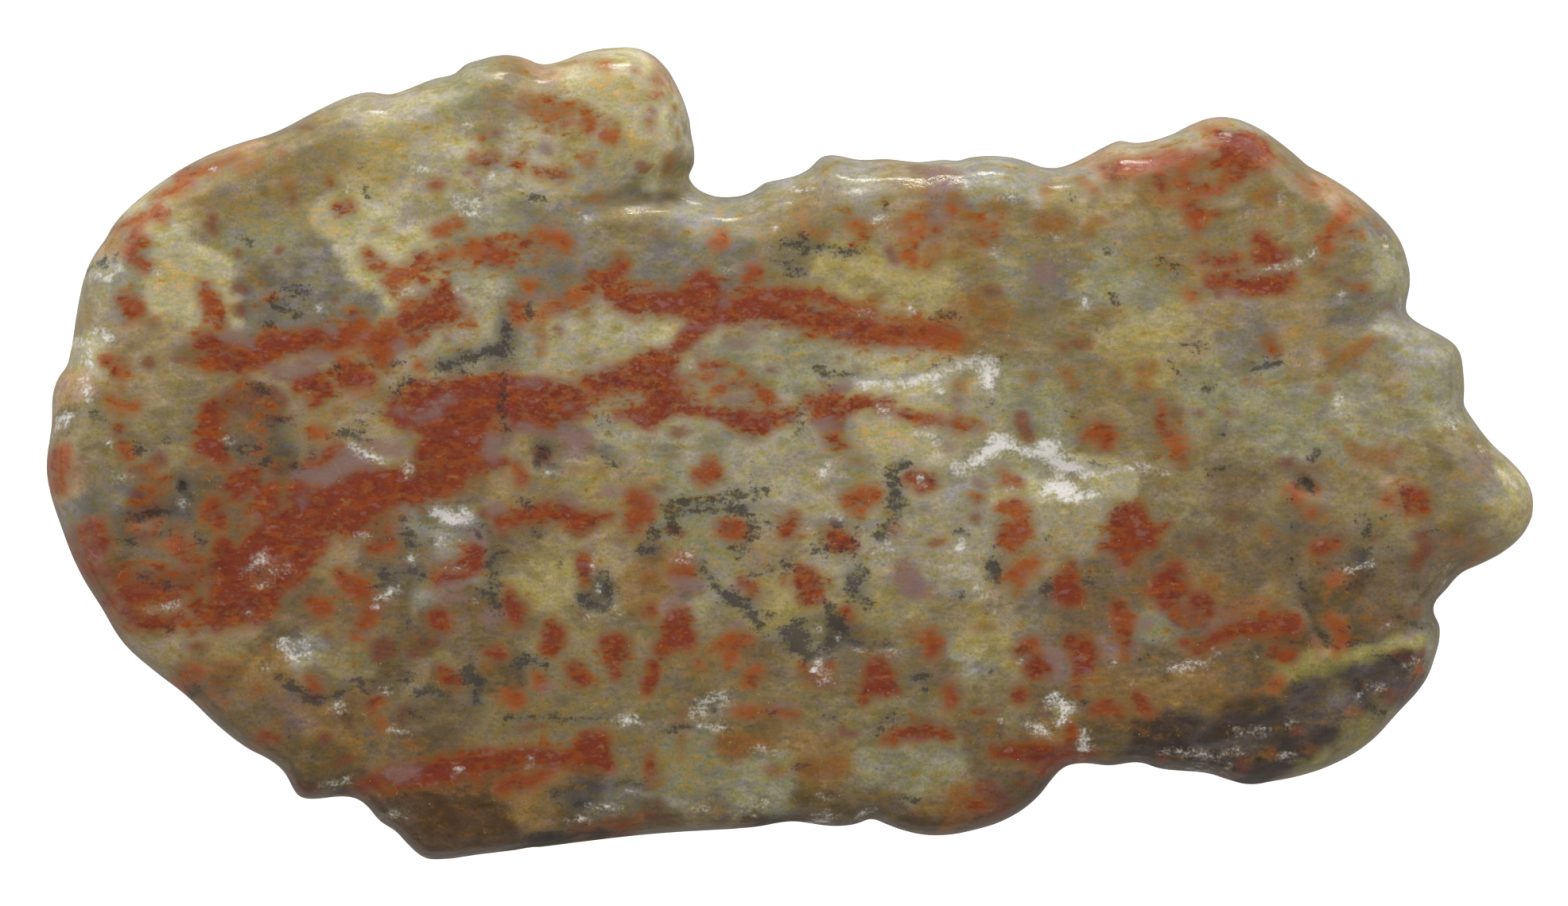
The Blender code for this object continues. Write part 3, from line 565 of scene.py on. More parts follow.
OCHRE = {
    "upper left": [
        [(363, 240, 7)], [(358, 197, 8)], [(330, 205, 6), (308, 212, 6)], [(480, 291, 8, 4)],
        [(602, 232, 5)], [(740, 203, 10), (745, 195, 6)],
        [(655, 140, 6), (675, 143, 8), (690, 143, 6), (705, 140, 7)],
        [(705, 140, 7), (720, 137, 6), (735, 138, 6), (745, 142, 5)], [(665, 130, 10)],
        [(765, 157, 5), (775, 160, 5)], [(727, 78, 14, 6)], [(655, 90, 7, 4)], [(755, 250, 10, 5)],
        [(845, 205, 8)], [(857, 170, 5, 6)], [(852, 130, 6)], [(737, 398, 8)], [(830, 295, 10, 5)],
    ],
    "left": [
        [(195, 410, 9, 7)], [(160, 408, 5)], [(155, 490, 6)], [(158, 520, 8, 3)], [(125, 715, 10)],
        [(140, 722, 10)], [(425, 520, 8, 6)], [(678, 418, 7), (685, 425, 6)], [(680, 440, 8)],
        [(755, 590, 5, 6)], [(730, 592, 10, 3)],
    ],
    "upper right": [
        [(1020, 288, 3), (1026, 298, 4), (1036, 299, 3), (1041, 290, 3)], [(1175, 320, 14)],
        [(1145, 240, 14, 4)], [(1165, 262, 8)], [(1460, 255, 9)], [(1710, 270, 10, 6)], [(1730, 280, 8)],
        [(1655, 340, 10)], [(1630, 225, 6), (1645, 240, 6)], [(1615, 205, 8)],
        [(1580, 250, 6), (1600, 240, 5)], [(1590, 260, 5)], [(1620, 268, 4)], [(1620, 285, 4, 6)],
        [(1315, 240, 9, 12)], [(1305, 283, 8), (1320, 288, 8), (1330, 285, 7)], [(1255, 265, 10, 9)],
        [(1217, 272, 9, 8)], [(1230, 300, 9, 8)], [(1265, 262, 4, 6)], [(1205, 320, 5)],
        [(1225, 385, 9, 10)], [(1250, 340, 5)], [(1370, 295, 10)], [(1380, 282, 10, 5)],
        [(1385, 395, 8, 4)], [(1358, 228, 8)],
    ],
    "centre": [
        [(1035, 485, 3)], [(1080, 500, 8, 3)], [(1075, 580, 12, 6)], [(820, 728, 13, 11)],
        [(825, 705, 10, 3)], [(840, 665, 8, 6)], [(930, 935, 40, 15)], [(975, 965, 12, 10)],
        [(1020, 965, 20, 12)], [(1050, 960, 16, 14)], [(1216, 925, 5, 12)], [(1248, 912, 10, 8)],
    ],
    "lower left": [
        [(385, 750, 6)], [(520, 930, 14, 11)], [(295, 835, 11, 7)], [(305, 842, 8)], [(330, 865, 8)],
        [(322, 875, 5)], [(340, 812, 6, 5)], [(825, 978, 11, 9)], [(815, 985, 9)], [(615, 840, 7)],
    ],
    "right": [
        [(1250, 405, 14, 8)], [(1270, 430, 10, 6)], [(1355, 415, 5, 3)], [(1345, 410, 4)],
        [(1340, 470, 6), (1347, 485, 7)], [(1297, 475, 10, 8)], [(1205, 485, 10, 12)], [(1400, 472, 6, 12)],
        [(1430, 462, 7), (1438, 466, 9), (1446, 463, 7)], [(1440, 487, 9, 6)], [(1430, 483, 6)],
        [(1455, 505, 5, 3)], [(1485, 586, 9)], [(1277, 745, 7)], [(1520, 735, 12)], [(1590, 670, 8)],
        [(1565, 480, 5)], [(1588, 430, 8), (1596, 438, 9)], [(1665, 440, 9, 5)],
        [(1670, 458, 4), (1685, 450, 5), (1700, 442, 6), (1712, 438, 5), (1720, 432, 4), (1735, 427, 3)],
        [(1665, 488, 12, 6)], [(1620, 478, 8, 3)], [(1580, 483, 6, 3)], [(1700, 460, 8, 6)],
        [(1728, 532, 7, 4)], [(1675, 548, 5, 3)],
        [(1695, 562, 5), (1705, 571, 8), (1720, 573, 8), (1740, 573, 9), (1755, 568, 6)],
        [(1735, 558, 12, 5)], [(1740, 585, 10, 5)], [(1635, 590, 10, 8)], [(1655, 588, 10, 5)],
        [(1863, 681, 4)], [(1575, 750, 8, 5)], [(1665, 750, 5, 6)], [(1660, 710, 6, 4)],
        [(1595, 665, 10, 7)], [(1605, 730, 6, 4)],
    ],
    "lower right": [
        [(1239, 787, 12, 6)], [(1365, 795, 8)], [(1540, 765, 8), (1560, 762, 13), (1580, 764, 13)],
        [(1580, 764, 13), (1600, 768, 12), (1615, 772, 8)], [(1715, 778, 6, 4), (1730, 780, 9, 4)],
        [(1745, 779, 8, 4), (1770, 772, 9, 5), (1780, 765, 5)], [(1583, 849, 4, 3)], [(1575, 870, 9)],
        [(1595, 945, 8)], [(1644, 942, 8)], [(1703, 895, 10, 6)], [(1145, 797, 10, 4)], [(1155, 795, 5)],
        [(1205, 1000, 12), (1200, 1020, 14), (1195, 1032, 12)],
    ],
}

# Bluish lilac agate, pale crystal, near-black cracks and grains, and soft grey-green dark patches, a few
# of them painted shadow.
LILAC = {
    "left": [
        [(300, 425, 14, 10)], [(315, 430, 10)], [(350, 470, 11), (365, 468, 10), (385, 462, 9)],
        [(385, 462, 9), (405, 455, 8), (420, 452, 5)], [(375, 595, 8), (395, 598, 9), (415, 595, 11)],
        [(415, 595, 11), (435, 581, 12), (450, 570, 12), (460, 559, 7), (480, 562, 8), (505, 566, 8)],
        [(385, 628, 9, 11)], [(420, 415, 8, 9)], [(505, 435, 12, 9)], [(505, 515, 12, 8)],
        [(535, 525, 8), (550, 518, 8)], [(565, 502, 10, 6)], [(520, 545, 8, 12)], [(715, 510, 6, 4)],
        [(670, 483, 12, 4)], [(665, 540, 14, 8)], [(690, 548, 10, 5)], [(640, 550, 6)],
        [(730, 548, 14, 11)], [(765, 620, 14, 8)], [(715, 625, 14, 9)], [(630, 638, 12, 8)],
        [(620, 552, 5), (622, 572, 12)],
    ],
    "lower left": [
        [(570, 735, 14, 6)], [(600, 670, 20, 12)], [(520, 965, 14, 9)], [(500, 975, 18, 7)],
        [(620, 775, 14, 12)], [(565, 750, 20, 8)], [(690, 865, 10, 8)],
    ],
    "centre": [
        [(955, 410, 14, 6)], [(930, 430, 20, 9)], [(880, 445, 9)], [(930, 503, 18, 6)],
        [(1060, 490, 12, 8)], [(1040, 535, 14, 8)], [(865, 735, 20, 9)], [(925, 740, 16, 6)],
        [(1190, 560, 10, 4)], [(1145, 735, 20)], [(1060, 420, 8, 5)], [(912, 380, 8)], [(985, 885, 14, 6)],
        [(975, 905, 10, 3)], [(930, 785, 14, 7)], [(693, 192, 10)],
    ],
    "right": [
        [(1205, 505, 10, 12)], [(1545, 370, 8, 4)], [(1330, 265, 6, 9)], [(1310, 345, 16)],
        [(1325, 825, 11, 9)], [(1439, 783, 9)], [(1330, 850, 8, 6)], [(1235, 605, 8)],
    ],
}

WHITE = {
    "left rim": [
        [(105, 420, 5), (112, 430, 4), (118, 440, 4), (116, 455, 4), (122, 463, 3)],
        [(125, 418, 4), (138, 420, 3), (145, 428, 4)], [(108, 478, 4), (115, 492, 4), (117, 500, 4)],
        [(82, 535, 3), (90, 526, 5), (95, 520, 3)], [(128, 347, 5), (140, 350, 4), (155, 340, 3)],
        [(200, 343, 5)], [(225, 282, 5)], [(323, 232, 4)], [(275, 211, 3)], [(403, 389, 6, 3)],
        [(440, 240, 3)], [(145, 556, 4)], [(292, 551, 6, 4)], [(234, 633, 5, 6)], [(215, 457, 2)],
        [(333, 703, 6, 5)], [(155, 600, 6, 3)],
    ],
    "upper lobe": [
        [(590, 158, 5, 3)], [(622, 220, 5)], [(595, 270, 10, 6)], [(575, 257, 5), (600, 254, 4)],
        [(530, 215, 10, 6)], [(512, 278, 8, 2)], [(735, 276, 5, 3)], [(510, 370, 7, 4)], [(577, 366, 3)],
        [(625, 368, 8, 2)], [(577, 382, 3)], [(841, 422, 3, 2)], [(863, 461, 2)],
    ],
    "left of the middle": [
        [(443, 561, 3), (455, 568, 5), (470, 573, 4), (485, 580, 3)], [(517, 590, 7, 8)],
        [(555, 643, 8), (570, 652, 9), (585, 652, 7)], [(582, 642, 4), (595, 655, 3)], [(553, 640, 5)],
        [(458, 674, 7, 3)], [(565, 677, 10, 3)], [(550, 685, 6, 3)], [(520, 700, 4, 7)], [(575, 715, 8, 2)],
        [(478, 753, 2), (492, 746, 3), (505, 738, 2)], [(475, 762, 3, 2)], [(750, 710, 2, 6)],
        [(757, 740, 3, 6)], [(755, 562, 5, 4)], [(693, 592, 12, 2)], [(718, 581, 4, 2)],
        [(315, 716, 2), (328, 705, 3), (338, 696, 2)], [(345, 721, 2)], [(362, 716, 6, 2)],
        [(332, 735, 5, 2)],
    ],
    "upper middle": [
        [(1100, 275, 8, 5)], [(1115, 278, 4)], [(1012, 236, 8, 4)], [(1076, 242, 5)], [(975, 285, 3)],
        [(912, 342, 4, 3)], [(880, 250, 8, 4)], [(1085, 393, 6, 3)], [(1145, 388, 5)], [(1255, 315, 5, 4)],
        [(1324, 301, 5, 3)], [(1217, 235, 3)], [(1362, 378, 5, 6)], [(1270, 250, 10, 5)], [(975, 415, 3)],
    ],
    "upper vein": [
        [(1075, 480, 3), (1085, 482, 5), (1100, 480, 4), (1115, 482, 4), (1130, 483, 3), (1145, 480, 5)],
        [(1145, 480, 5), (1160, 474, 6), (1168, 470, 3), (1175, 478, 6), (1180, 490, 4)],
        [(1175, 476, 5), (1185, 466, 4), (1195, 462, 3), (1205, 462, 3), (1218, 466, 3)],
        [(1205, 462, 3), (1225, 454, 6), (1235, 460, 8), (1240, 470, 9), (1241, 481, 7), (1248, 490, 3)],
        [(1245, 455, 6)], [(1250, 470, 5)],
    ],
    "lower vein": [
        [(1195, 590, 4), (1205, 588, 4), (1215, 585, 4), (1225, 579, 6), (1238, 570, 9), (1250, 562, 10)],
        [(1245, 547, 5), (1252, 560, 10), (1264, 558, 8), (1272, 563, 6), (1284, 569, 4), (1297, 569, 5)],
        [(1297, 569, 5), (1310, 563, 9), (1319, 571, 10), (1326, 562, 6)],
        [(1319, 571, 10), (1323, 581, 9), (1336, 587, 10), (1349, 590, 8), (1358, 596, 5), (1366, 598, 4)],
        [(1330, 574, 4), (1346, 575, 3)], [(1366, 598, 3), (1385, 597, 2), (1400, 592, 2)],
        [(1308, 622, 4), (1322, 613, 9), (1338, 612, 11), (1336, 621, 9), (1352, 622, 7), (1368, 620, 4)],
        [(1368, 620, 3), (1385, 620, 1.5)], [(1315, 628, 6, 3)], [(1325, 543, 4)], [(1330, 520, 2)],
        [(1372, 605, 2, 5)], [(1265, 615, 6, 2)], [(1250, 627, 3, 4)],
        [(1405, 592, 2), (1425, 587, 2), (1440, 590, 2), (1460, 595, 1.5)],
    ],
    "middle": [
        [(1107, 513, 2), (1112, 523, 2)], [(1120, 518, 2), (1118, 525, 2)], [(1150, 545, 4)],
        [(1165, 545, 3), (1175, 555, 3), (1178, 570, 2)], [(1128, 573, 3)],
        [(1040, 580, 2), (1035, 590, 3), (1030, 596, 4)], [(1207, 678, 2), (1206, 690, 5)],
        [(1215, 717, 5, 4)], [(1228, 732, 4, 3)], [(1110, 690, 10, 3)], [(1120, 680, 3, 8)],
        [(1055, 647, 4), (1042, 648, 3)], [(862, 695, 5)], [(863, 703, 8, 2)],
        [(1158, 600, 2), (1160, 610, 2)],
    ],
    "right": [
        [(1607, 250, 4)], [(1738, 293, 3)], [(1738, 309, 3)], [(1683, 369, 4)], [(1765, 371, 3)],
        [(1580, 340, 2), (1605, 337, 2), (1630, 330, 2), (1650, 318, 2)], [(1684, 500, 3, 7)],
        [(1678, 508, 3, 5)], [(1680, 521, 8, 3)], [(1612, 568, 2)], [(1582, 618, 2)], [(1865, 562, 5, 3)],
        [(1885, 588, 5, 2)], [(1827, 530, 4, 3)], [(1820, 535, 5, 2)], [(1815, 712, 4, 2)],
        [(1830, 730, 8, 3)], [(1680, 713, 1), (1700, 712, 1.5), (1720, 706, 1)], [(1747, 786, 4, 2)],
        [(1763, 836, 3, 2)], [(1776, 827, 3)], [(1792, 827, 3)],
    ],
    "lower left": [
        [(361, 806, 8, 7)], [(368, 816, 8, 11)], [(374, 828, 5, 4)], [(387, 805, 4, 5)], [(390, 818, 5, 4)],
        [(427, 889, 7, 5)], [(424, 883, 6, 3)], [(440, 980, 3)], [(425, 985, 8, 2)], [(318, 767, 2)],
        [(338, 838, 5, 3)], [(190, 765, 2), (225, 758, 2)], [(785, 905, 7, 4), (797, 905, 7, 3)],
        [(578, 968, 6, 3)], [(668, 955, 2, 4)], [(600, 755, 3, 3)], [(775, 768, 4, 5)], [(742, 775, 3, 2)],
        [(507, 918, 8, 2)], [(485, 868, 4, 2)], [(500, 1022, 6, 2)], [(733, 1030, 6, 2)],
        [(762, 1013, 12, 2)], [(800, 993, 8, 2)],
    ],
    "lower centre": [
        [(893, 880, 12, 5)], [(905, 875, 10, 6)], [(912, 880, 6, 5)], [(885, 885, 8, 5)],
        [(880, 893, 5, 4)], [(870, 897, 5, 4)], [(880, 912, 2), (912, 912, 3)], [(830, 910, 4, 2)],
        [(1029, 788, 3, 4)], [(1050, 802, 2, 4)], [(1030, 830, 3), (1027, 838, 4), (1035, 843, 3)],
        [(1038, 853, 5, 3)], [(1075, 815, 6, 2)], [(1118, 816, 8, 2)], [(1125, 875, 2, 3)],
        [(937, 1018, 8, 4)], [(945, 1012, 4, 3)], [(962, 1005, 2, 4)], [(1038, 998, 4, 2)],
        [(960, 943, 8, 2)], [(882, 1012, 4, 2)], [(1085, 1025, 3), (1097, 1021, 3)], [(1038, 1024, 8, 3)],
    ],
    "lower right": [
        [(1318, 880, 4), (1325, 879, 5), (1335, 882, 6), (1340, 889, 6), (1337, 896, 5), (1331, 907, 4)],
        [(1290, 908, 2), (1303, 914, 4), (1314, 917, 3)],
        [(1362, 918, 3), (1362, 928, 5), (1365, 935, 5), (1358, 939, 3)], [(1223, 828, 3, 2)],
        [(1286, 832, 2.5)], [(1396, 833, 2)], [(1422, 862, 2)], [(1526, 822, 2)], [(1575, 822, 2)],
        [(1475, 838, 8, 2)], [(1490, 836, 5, 2)], [(1505, 833, 6, 2)], [(1249, 766, 3, 4)],
        [(1236, 746, 4)], [(1257, 904, 4, 2)], [(1475, 943, 8, 2)], [(1508, 948, 10, 2)],
        [(1521, 963, 10, 2)], [(1549, 943, 6, 2)], [(1570, 917, 10, 2)], [(1621, 909, 5, 3)],
        [(1614, 950, 7, 3)], [(1728, 863, 4, 2)], [(1705, 878, 2)],
    ],
}

DARK = {
    "upper left": [
        [(366, 361, 4), (378, 365, 5), (388, 370, 3)], [(350, 390, 4), (357, 387, 6), (364, 383, 3)],
        [(375, 398, 8, 4)], [(347, 380, 4)], [(308, 296, 2), (320, 308, 2)], [(455, 210, 4)],
        [(115, 333, 2), (135, 332, 2), (150, 325, 1.5)], [(465, 238, 2), (470, 248, 2)],
        # Painted shade: the spot at (672, 253) darkens the fold under the upper lobe.
        [(672, 253, 10, 6)], [(665, 392, 8)], [(796, 202, 2)],
    ],
    "crack at the top": [
        [(985, 310, 4), (1000, 312, 5), (1010, 317, 5), (1030, 316, 3), (1040, 313, 2), (1055, 317, 4)],
        [(1055, 317, 4), (1065, 318, 4), (1080, 316, 2), (1090, 316, 1)], [(980, 332, 8, 4)],
        [(990, 344, 4), (1006, 346, 4)], [(1003, 298, 3)], [(1008, 303, 3)], [(1110, 262, 3)],
        [(1190, 400, 10, 3)], [(1343, 253, 4, 7)], [(1390, 312, 5, 3)], [(1400, 375, 5)],
        [(1460, 330, 1.5), (1480, 340, 1.5)],
    ],
    "left": [
        [(125, 523, 5, 6)], [(132, 530, 4)], [(88, 547, 3, 5)], [(214, 550, 6, 4)], [(178, 565, 6)],
        [(190, 563, 5, 3)], [(233, 612, 7, 8)], [(240, 623, 7, 4)],
        [(165, 652, 4), (185, 649, 4), (205, 645, 4), (222, 646, 3)], [(240, 650, 3)], [(165, 680, 8, 5)],
        [(215, 672, 6, 3)], [(250, 672, 2), (257, 680, 4)], [(305, 558, 8, 3)], [(325, 562, 6, 3)],
        [(295, 565, 10, 5)], [(338, 578, 8)], [(325, 583, 6, 5)], [(372, 587, 8, 5)], [(394, 567, 4, 5)],
        [(353, 532, 10, 4)], [(340, 528, 4)], [(430, 467, 6, 5)], [(332, 490, 8, 4)], [(340, 410, 6, 4)],
        [(318, 712, 5, 3)], [(190, 725, 8, 4)], [(215, 733, 9, 5)], [(440, 545, 14, 6)], [(455, 538, 8, 4)],
        [(450, 555, 8, 3)],
    ],
    "dendrite": [
        [(550, 470, 4), (560, 462, 5), (580, 455, 6), (600, 450, 6), (620, 442, 8), (635, 444, 8)],
        [(638, 436, 5), (640, 420, 4), (640, 408, 3)], [(625, 432, 4)], [(585, 467, 5, 4)], [(595, 470, 4)],
        [(500, 457, 5, 3)], [(500, 490, 8, 4)], [(510, 481, 6, 3)], [(475, 518, 3)],
    ],
    "under the middle band": [
        [(686, 562, 8, 4)], [(675, 585, 5, 8)], [(700, 585, 8, 3)], [(680, 572, 6)], [(757, 528, 3, 5)],
        [(767, 537, 2, 4)], [(755, 565, 9, 7)], [(760, 572, 3), (772, 582, 3)], [(508, 655, 4)],
        [(515, 670, 4), (520, 685, 6)], [(545, 683, 6)], [(600, 660, 8, 5)], [(570, 665, 12, 5)],
        [(605, 670, 5)], [(485, 720, 6, 8)], [(500, 735, 5, 8)], [(520, 715, 8)], [(535, 722, 6, 5)],
        [(480, 740, 8, 5)], [(620, 705, 6, 12)], [(635, 695, 6)], [(625, 725, 5, 10)], [(620, 740, 5, 8)],
        [(675, 672, 8, 4)], [(705, 715, 2, 8)],
        [(650, 625, 2), (656, 629, 2), (662, 633, 2), (666, 640, 1.5)],
    ],
    "centre pit": [
        [(764, 722, 3), (768, 737, 6), (767, 750, 7)], [(757, 728, 5, 6)], [(735, 750, 9)],
        [(745, 762, 14, 6)], [(757, 770, 5, 3)], [(810, 690, 10, 8)], [(825, 670, 8, 10)],
    ],
    "centre": [
        [(1030, 463, 4), (1035, 470, 5), (1042, 478, 4)],
        [(1050, 470, 1.5), (1075, 475, 1.5), (1110, 478, 2), (1140, 475, 2), (1165, 465, 2),
         (1190, 455, 2)],
        [(1005, 520, 3, 9)], [(1008, 540, 3, 4)], [(948, 593, 3, 6)],
        [(845, 635, 3), (860, 632, 3), (880, 632, 3), (895, 628, 3), (910, 625, 3), (925, 620, 5)],
        [(925, 620, 5), (950, 620, 3), (965, 617, 2)],
        [(850, 645, 3), (870, 643, 2), (900, 643, 2), (920, 640, 3), (935, 640, 4), (945, 643, 3)],
        [(845, 655, 8, 10)], [(840, 645, 5)], [(850, 665, 5, 6)], [(835, 670, 9, 5)], [(820, 690, 9, 6)],
        [(945, 655, 4, 8)], [(950, 665, 6, 4)], [(965, 658, 6, 3)], [(940, 680, 6, 8)], [(925, 690, 8, 5)],
        [(1042, 653, 3), (1050, 656, 4), (1062, 655, 3)],
        [(1120, 593, 5), (1118, 600, 3), (1123, 610, 5), (1122, 620, 5), (1125, 630, 5), (1118, 633, 4)],
        [(1127, 637, 6, 4)], [(1122, 655, 3, 6)], [(1115, 665, 5), (1110, 670, 5), (1118, 675, 5)],
        [(1105, 668, 4)], [(1135, 585, 10, 7)], [(1040, 685, 4, 8)], [(1025, 690, 6)], [(1030, 678, 4)],
        [(1065, 695, 8, 5)], [(1060, 690, 5)], [(1072, 700, 4)], [(1075, 670, 4, 8)],
        [(1085, 718, 5, 4), (1080, 725, 4), (1071, 728, 5)], [(1075, 740, 7, 5), (1071, 746, 8, 6)],
        [(1080, 755, 8, 6)], [(1090, 760, 6)], [(990, 710, 7, 10)], [(975, 718, 8, 5)], [(950, 720, 6, 3)],
        [(1207, 747, 8, 6)], [(1157, 603, 3)],
    ],
    "dark run to the patch": [
        [(882, 708, 2), (883, 716, 2), (890, 725, 3), (900, 738, 5), (910, 745, 6), (920, 752, 7)],
        [(920, 752, 7), (935, 760, 8), (945, 770, 7), (952, 780, 6), (960, 789, 5)], [(970, 772, 5)],
        [(985, 795, 6), (1000, 791, 9), (1006, 805, 10), (1000, 811, 8), (1020, 824, 6)],
        [(1020, 824, 6), (1035, 820, 7), (1045, 806, 9), (1055, 792, 8), (1046, 780, 9), (1040, 765, 5)],
        [(1060, 800, 6, 8)], [(1005, 782, 8, 6)], [(1075, 808, 10, 5)], [(1110, 810, 10, 4)],
        [(1145, 850, 6, 5), (1160, 852, 8, 3)], [(1162, 862, 3), (1163, 873, 3)],
        [(1120, 905, 6, 3), (1108, 908, 6, 3)], [(1130, 897, 4)], [(1102, 915, 3, 6)],
    ],
    "lower left": [
        [(355, 852, 5), (370, 862, 6), (385, 870, 6), (405, 877, 6), (425, 874, 5), (440, 868, 4)],
        [(368, 863, 3)], [(247, 865, 7)], [(370, 910, 2), (365, 925, 2)], [(440, 995, 10, 3)],
        [(325, 808, 6, 3)], [(212, 790, 6, 5)], [(620, 750, 8, 10)], [(625, 765, 5, 8)], [(610, 745, 6, 5)],
        [(655, 835, 8, 4), (661, 829, 6), (665, 825, 5)], [(675, 832, 4), (686, 835, 2)],
        [(593, 830, 3), (590, 840, 5), (588, 850, 5), (600, 857, 5)],
        [(600, 857, 5), (605, 862, 5), (601, 870, 4), (605, 880, 3)], [(518, 780, 5, 6)],
        [(515, 855, 8, 5)], [(520, 849, 5, 4)], [(525, 871, 3), (540, 868, 4), (562, 872, 3)],
        [(520, 895, 6, 3)], [(525, 903, 8, 2)], [(470, 868, 8, 4)], [(460, 858, 16, 3)],
        [(640, 903, 2), (700, 900, 2), (780, 901, 2)], [(790, 985, 14, 4), (810, 990, 10, 3)],
        [(700, 995, 10, 7)], [(730, 1010, 16, 7)], [(690, 1050, 24, 7)], [(650, 1045, 10, 5)],
        [(720, 1055, 20, 6)], [(760, 1048, 16, 6)], [(800, 1045, 14, 6)], [(900, 893, 5, 6)],
        [(855, 913, 8, 4)], [(845, 915, 6, 2)], [(870, 910, 3, 4)], [(966, 896, 4, 2)], [(1045, 900, 6, 3)],
        [(1008, 962, 8, 3)], [(990, 1030, 24, 5)], [(1090, 1018, 12, 2)], [(1145, 1005, 10, 5)],
    ],
    "right": [
        [(1257, 452, 6, 4)], [(1248, 508, 3)], [(1345, 520, 6, 2)], [(1330, 548, 5, 2)],
        [(1483, 435, 0.6), (1500, 436, 1), (1512, 440, 0.6)], [(1514, 491, 3), (1524, 485, 2)],
        [(1536, 545, 2), (1541, 537, 1)], [(1518, 594, 0.8), (1530, 592, 1), (1550, 587, 0.5)],
        [(1465, 450, 0.2), (1490, 480, 0.2)], [(1245, 710, 6, 8), (1252, 720, 5, 8)], [(1253, 733, 4)],
        [(1253, 687, 4, 2)], [(1365, 730, 8, 6)], [(1315, 740, 7, 10)], [(1315, 678, 3)],
        [(1207, 670, 8, 5)], [(1585, 700, 5, 3)], [(1575, 465, 3), (1590, 461, 4), (1602, 455, 6)],
        [(1652, 568, 4), (1650, 574, 5)], [(1638, 606, 5), (1646, 613, 4)], [(1628, 607, 2)],
        [(1620, 628, 4)], [(1622, 663, 5)], [(1620, 705, 3, 6)],
        [(1365, 585, 1.5), (1382, 590, 2), (1400, 592, 2)], [(1630, 730, 3), (1636, 740, 1)],
        [(1641, 757, 2), (1645, 768, 0.5)], [(1652, 788, 2), (1663, 804, 3)],
        [(1718, 665, 4), (1712, 670, 3)], [(1725, 650, 8, 1)], [(1710, 697, 7, 5), (1705, 705, 7, 5)],
        [(1715, 690, 7, 5)], [(1745, 690, 4, 3)], [(1660, 712, 6, 3)], [(1720, 720, 6, 5)],
        [(1800, 670, 5, 3)], [(1775, 735, 4)], [(1700, 735, 6, 3)], [(1757, 628, 1, 4)], [(1598, 857, 3)],
    ],
    "lower right": [
        [(1243, 844, 4, 3)], [(1242, 766, 3)], [(1244, 758, 3)], [(1463, 845, 6, 5)], [(1364, 882, 5, 4)],
        [(1504, 935, 3), (1514, 934, 4), (1527, 930, 3)], [(1557, 925, 5, 3)], [(1578, 932, 12, 4)],
        [(1616, 937, 5, 7)], [(1608, 927, 4)], [(1634, 891, 6, 3)], [(1578, 908, 6, 3)],
        [(1587, 882, 5, 2)], [(1629, 866, 6, 3)], [(1674, 923, 9, 3)],
        [(1705, 858, 4), (1707, 867, 6), (1711, 878, 7), (1718, 887, 6), (1727, 894, 5), (1738, 898, 3)],
        [(1575, 905, 6, 3), (1598, 897, 7, 4)], [(1655, 922, 6), (1676, 918, 6)], [(1640, 940, 5, 2)],
        [(1520, 935, 14, 5)], [(1540, 926, 8, 3)], [(1612, 930, 5, 12)], [(1640, 858, 8, 2)],
        [(1735, 825, 12, 4)], [(1701, 787, 5, 3)], [(1755, 776, 6, 5)], [(1773, 786, 10, 4)],
        [(1750, 830, 8, 5)], [(1762, 822, 12, 5)], [(1585, 972, 16, 7)], [(1434, 830, 2), (1449, 814, 2)],
        [(1695, 808, 2), (1735, 803, 2)], [(1250, 973, 8, 3)],
    ],
    "saw mark": [
        [(634, 470, 1.5), (634, 505, 2), (634, 525, 2), (636, 545, 1.5)],
    ],
}

